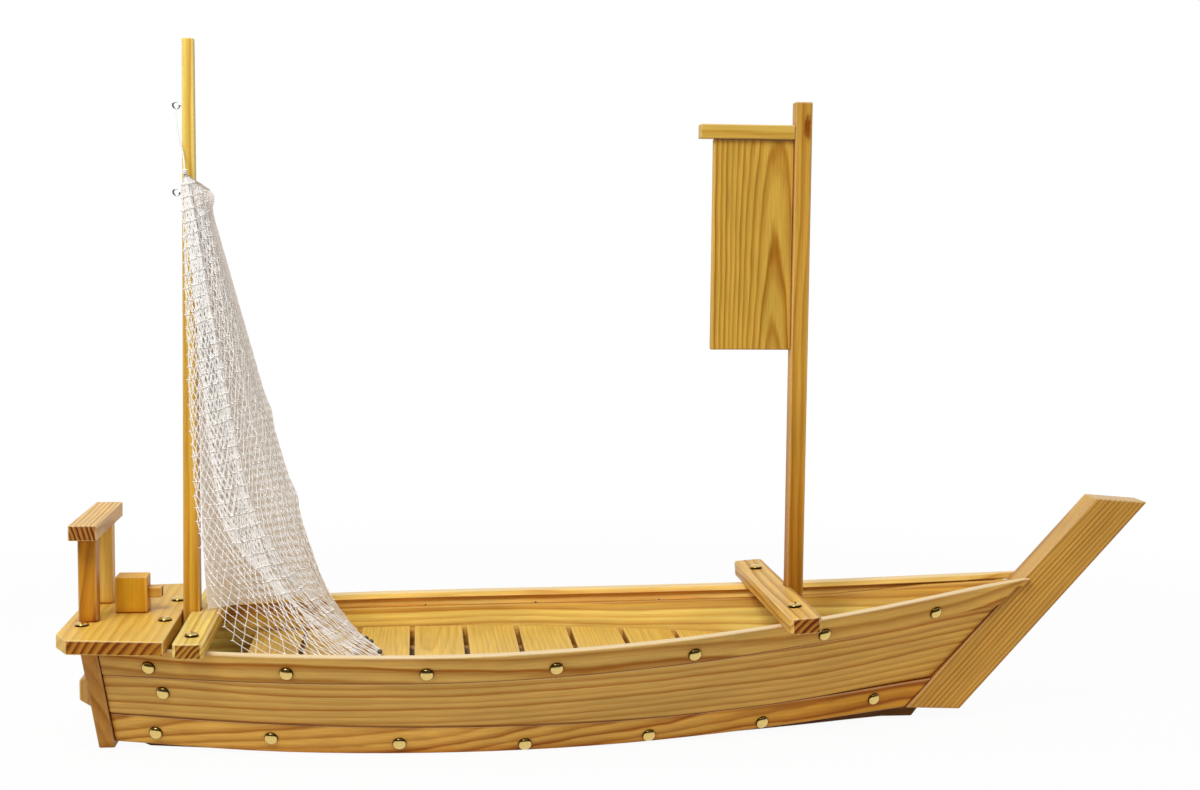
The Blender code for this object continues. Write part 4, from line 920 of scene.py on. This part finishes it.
def dress_planks(frame, figure):
    """Side planking: three bent planks a side, each with its own figure; the port ones are painted paler, as
    painted light for the far wall, which is lit more brightly.
    """
    side_line = [between(heights, SIDE_GRAIN) for heights in zip(SEAM_HEIGHTS, SHEER_HEIGHTS)]
    planks = {
        "starboard_top_strake": (SHEER_HEIGHTS, (0.0, -0.050, -0.090), 0.01, 0.0065,
                                 "#D2A655", "#A0600F", 1.05, 0.8),
        "starboard_side_plank": (side_line, (0.4, -0.030, 0.090), -0.015, 0.0068,
                                 "#D6AA58", "#A8661A", 1.0),
        "starboard_lower_strake": (SEAM_HEIGHTS, (0.8, -0.022, -0.010), 0.03, 0.0046,
                                   "#E8B556", "#A45908", 1.0),
        # Painted light: the port planks are painted paler, for the far wall, which is lit more brightly.
        "port_top_strake": (SHEER_HEIGHTS, (1.3, -0.050, -0.090), 0.01, 0.0065,
                            "#FAD06A", "#DC962E", 0.8, 0.65),
        "port_side_plank": (side_line, (1.7, -0.030, 0.090), -0.015, 0.0068,
                            "#FADA6C", "#CC902C", 0.85),
        "port_lower_strake": (SEAM_HEIGHTS, (2.1, -0.022, -0.010), 0.03, 0.0046,
                              "#DFAC52", "#9C5207", 1.0),
    }
    marks = {
        # Painted light: the upper starboard planks are painted paler toward the bow, where less light falls
        # on them.
        "starboard_top_strake": {"tone_changes": [(along_keel, *BOW_PAINTED_LIGHT)]},
        # Dirt and painted shade: bands along the lap seam, on the side plank's foot and the lower strake's
        # top, are darkened.
        "starboard_side_plank": {"tone_changes": [(along_keel, *BOW_PAINTED_LIGHT), (above_seam, *SEAM_EDGE_DIRT_AND_SHADE)]},
        "starboard_lower_strake": {"tone_changes": [(along_keel, *BOW_HEARTWOOD), (above_seam, *SEAM_DIRT_AND_SHADE)]},
        # Painted shadow: the port side plank is darkened in a band under the top strake's lip, and its
        # corner shade reaches farther.
        "port_side_plank": {"corner": LIP_CORNER, "tone_changes": [(above_sheer, *UNDER_LIP_SHADOW)]},
        "port_top_strake": {"corner_shade_strength": 0.3},
    }
    for name, plank in planks.items():
        dress(frame, name, bent_pine("oiled_pine_" + name, figure, *plank, **marks.get(name, {})))


def dress_boards(frame, figure):
    """Straight boards of the hull: each has its grain, its pith and its tone."""
    boards = {
        # Painted shade: the bottom board is painted dark, where it lies recessed and shaded under the
        # strakes.
        "bottom_board": (ALONG_X, (0.0, 0.03, -0.05), 0.0060, "#87622E", "#5E340A", 1.0),
        "transom": (ALONG_Z, (-0.47, 0.03, 0.0), 0.0060, "#BA843C", "#985C18", 0.9),
        "rudder_block": (ALONG_Z, (-0.40, 0.0, 0.0), 0.0045, "#D5AA60", "#B58542", 0.9),
        "stem_post": (ALONG_STEM, (0.40, 0.016, 0.02), 0.0034, "#D8A44C", "#9A5608", 0.95, 0.40),
        "aft_deck": (ALONG_Y, (-0.29, 0.0, 0.0), 0.0062, "#E6BC54", "#CC8E2C", 0.8),
        "starboard_gantry_post": (ALONG_POST, (-0.442, -0.060, 0.0), 0.0060, "#CF8E28", "#8C4603", 1.0),
        # Painted light: the port post is painted paler than the starboard one, where the bar shades it.
        "port_gantry_post": (ALONG_Z, (-0.450, 0.055, 0.0), 0.0060, "#F8CE66", "#E0AC4A", 0.8),
        "gantry_bar": (ALONG_Y, (-0.505, 0.0, 0.150), 0.0034, "#E8C076", "#AE6E26", 1.1),
        "bitt_block": (ALONG_Z, (-0.42, -0.05, 0.0), 0.0060, "#EEB32E", "#C58413", 0.7),
        "bitt_bar": (ALONG_X, (0.0, -0.02, 0.10), 0.0050, "#E0B050", "#B87E28", 0.8),
        "aft_thwart": (ALONG_Y, (-0.300, 0.0, 0.045), 0.0040, "#EECF6C", "#BC8828", 0.9),
        "fore_thwart": (ALONG_Y, (0.178, 0.0, 0.052), 0.0050, "#ECBE62", "#B67826", 1.0),
        "aft_mast_step": (ALONG_X, (0.0, 0.03, 0.0), *PLAIN_CUT),
        "fore_mast_step": (ALONG_X, (0.0, 0.03, 0.0), *PLAIN_CUT),
        "starboard_floor_bearer": (ALONG_X, (0.0, -0.03, 0.0), *BEARER_CUT),
        "port_floor_bearer": (ALONG_X, (0.0, 0.03, 0.0), *BEARER_CUT),
        "aft_mast": (ALONG_Z, (-0.385, -0.030, 0.0), 0.0070, "#F7D86E", "#D29930", 0.9),
        "fore_mast": (ALONG_Z, (0.175, -0.016, 0.0), 0.0062, "#D9A642", "#AC6A12", 0.7),
        "sail_board": (ALONG_SAIL, (0.124, 0.017, 0.470), 0.0038, "#DEB048", "#A66408", 0.9),
        "sail_yard": (ALONG_X, (0.0, 0.03, 0.47), 0.0060, "#E2B955", "#C08826", 0.8),
    }
    for word in ("aft", "mid", "fore"):
        boards["floor_frame_" + word] = (ALONG_Y, (0.02, 0.0, 0.0), *PLAIN_CUT)
    marks = {
        "sail_yard": {"ends": 0.0},
        "sail_board": {"corner_shade_strength": 0.4},
        # Painted shade: the masts are darkened toward their feet.
        "aft_mast": {"corner_shade_strength": 0.2, "tone_changes": [(above_foot, *AFT_MAST_FOOT_SHADE)]},
        "fore_mast": {"corner_shade_strength": 0.2, "tone_changes": [(above_foot, *FORE_MAST_FOOT_SHADE)], "knot": MAST_KNOT},
    }
    for name, board in boards.items():
        dress(frame, name, straight_pine("oiled_pine_" + name, figure, *board, **marks.get(name, {})))


def dress_floor(frame, figure):
    """Floor slats: paler, slow-grown boards, each from another place in the trunk."""
    for name in frame["nodes"]:
        if name.startswith("floor_slat_"):
            number = int(name[-2:])
            low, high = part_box(name)
            heart = ((low.x + high.x) / 2.0 + SLAT_DRIFT[0] * math.sin(SLAT_TURNS[0] * number),
                     SLAT_DRIFT[1] * number,
                     low.z - SLAT_HEART - SLAT_DRIFT[2] * math.cos(SLAT_TURNS[1] * number))
            dress(frame, name, straight_pine("oiled_pine_" + name, figure, ALONG_Y, heart, *SLAT_CUT))


def main():
    """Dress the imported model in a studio, and add what its solids leave out."""
    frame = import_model()
    bpy.context.scene.view_settings.view_transform = "Standard"
    place_camera()
    build_studio()

    figure = pine_figure()
    dress_planks(frame, figure)
    dress_boards(frame, figure)
    dress_floor(frame, figure)
    steel = zinc_plated_steel()
    for name in ("upper_hook", "lower_hook"):
        dress(frame, name, steel)

    add_string(cotton_twine("bleached_cotton_string", "#FDFBF8", "#F4EFE9"))
    add_net(cotton_twine("bleached_cotton_twine", "#FDFBF8", "#F4EFE9"),
            cotton_twine("raw_cotton_twine", "#FFF8F0", "#F8EFE6"), cast_lead())
    add_nails(frame, polished_brass())


main()
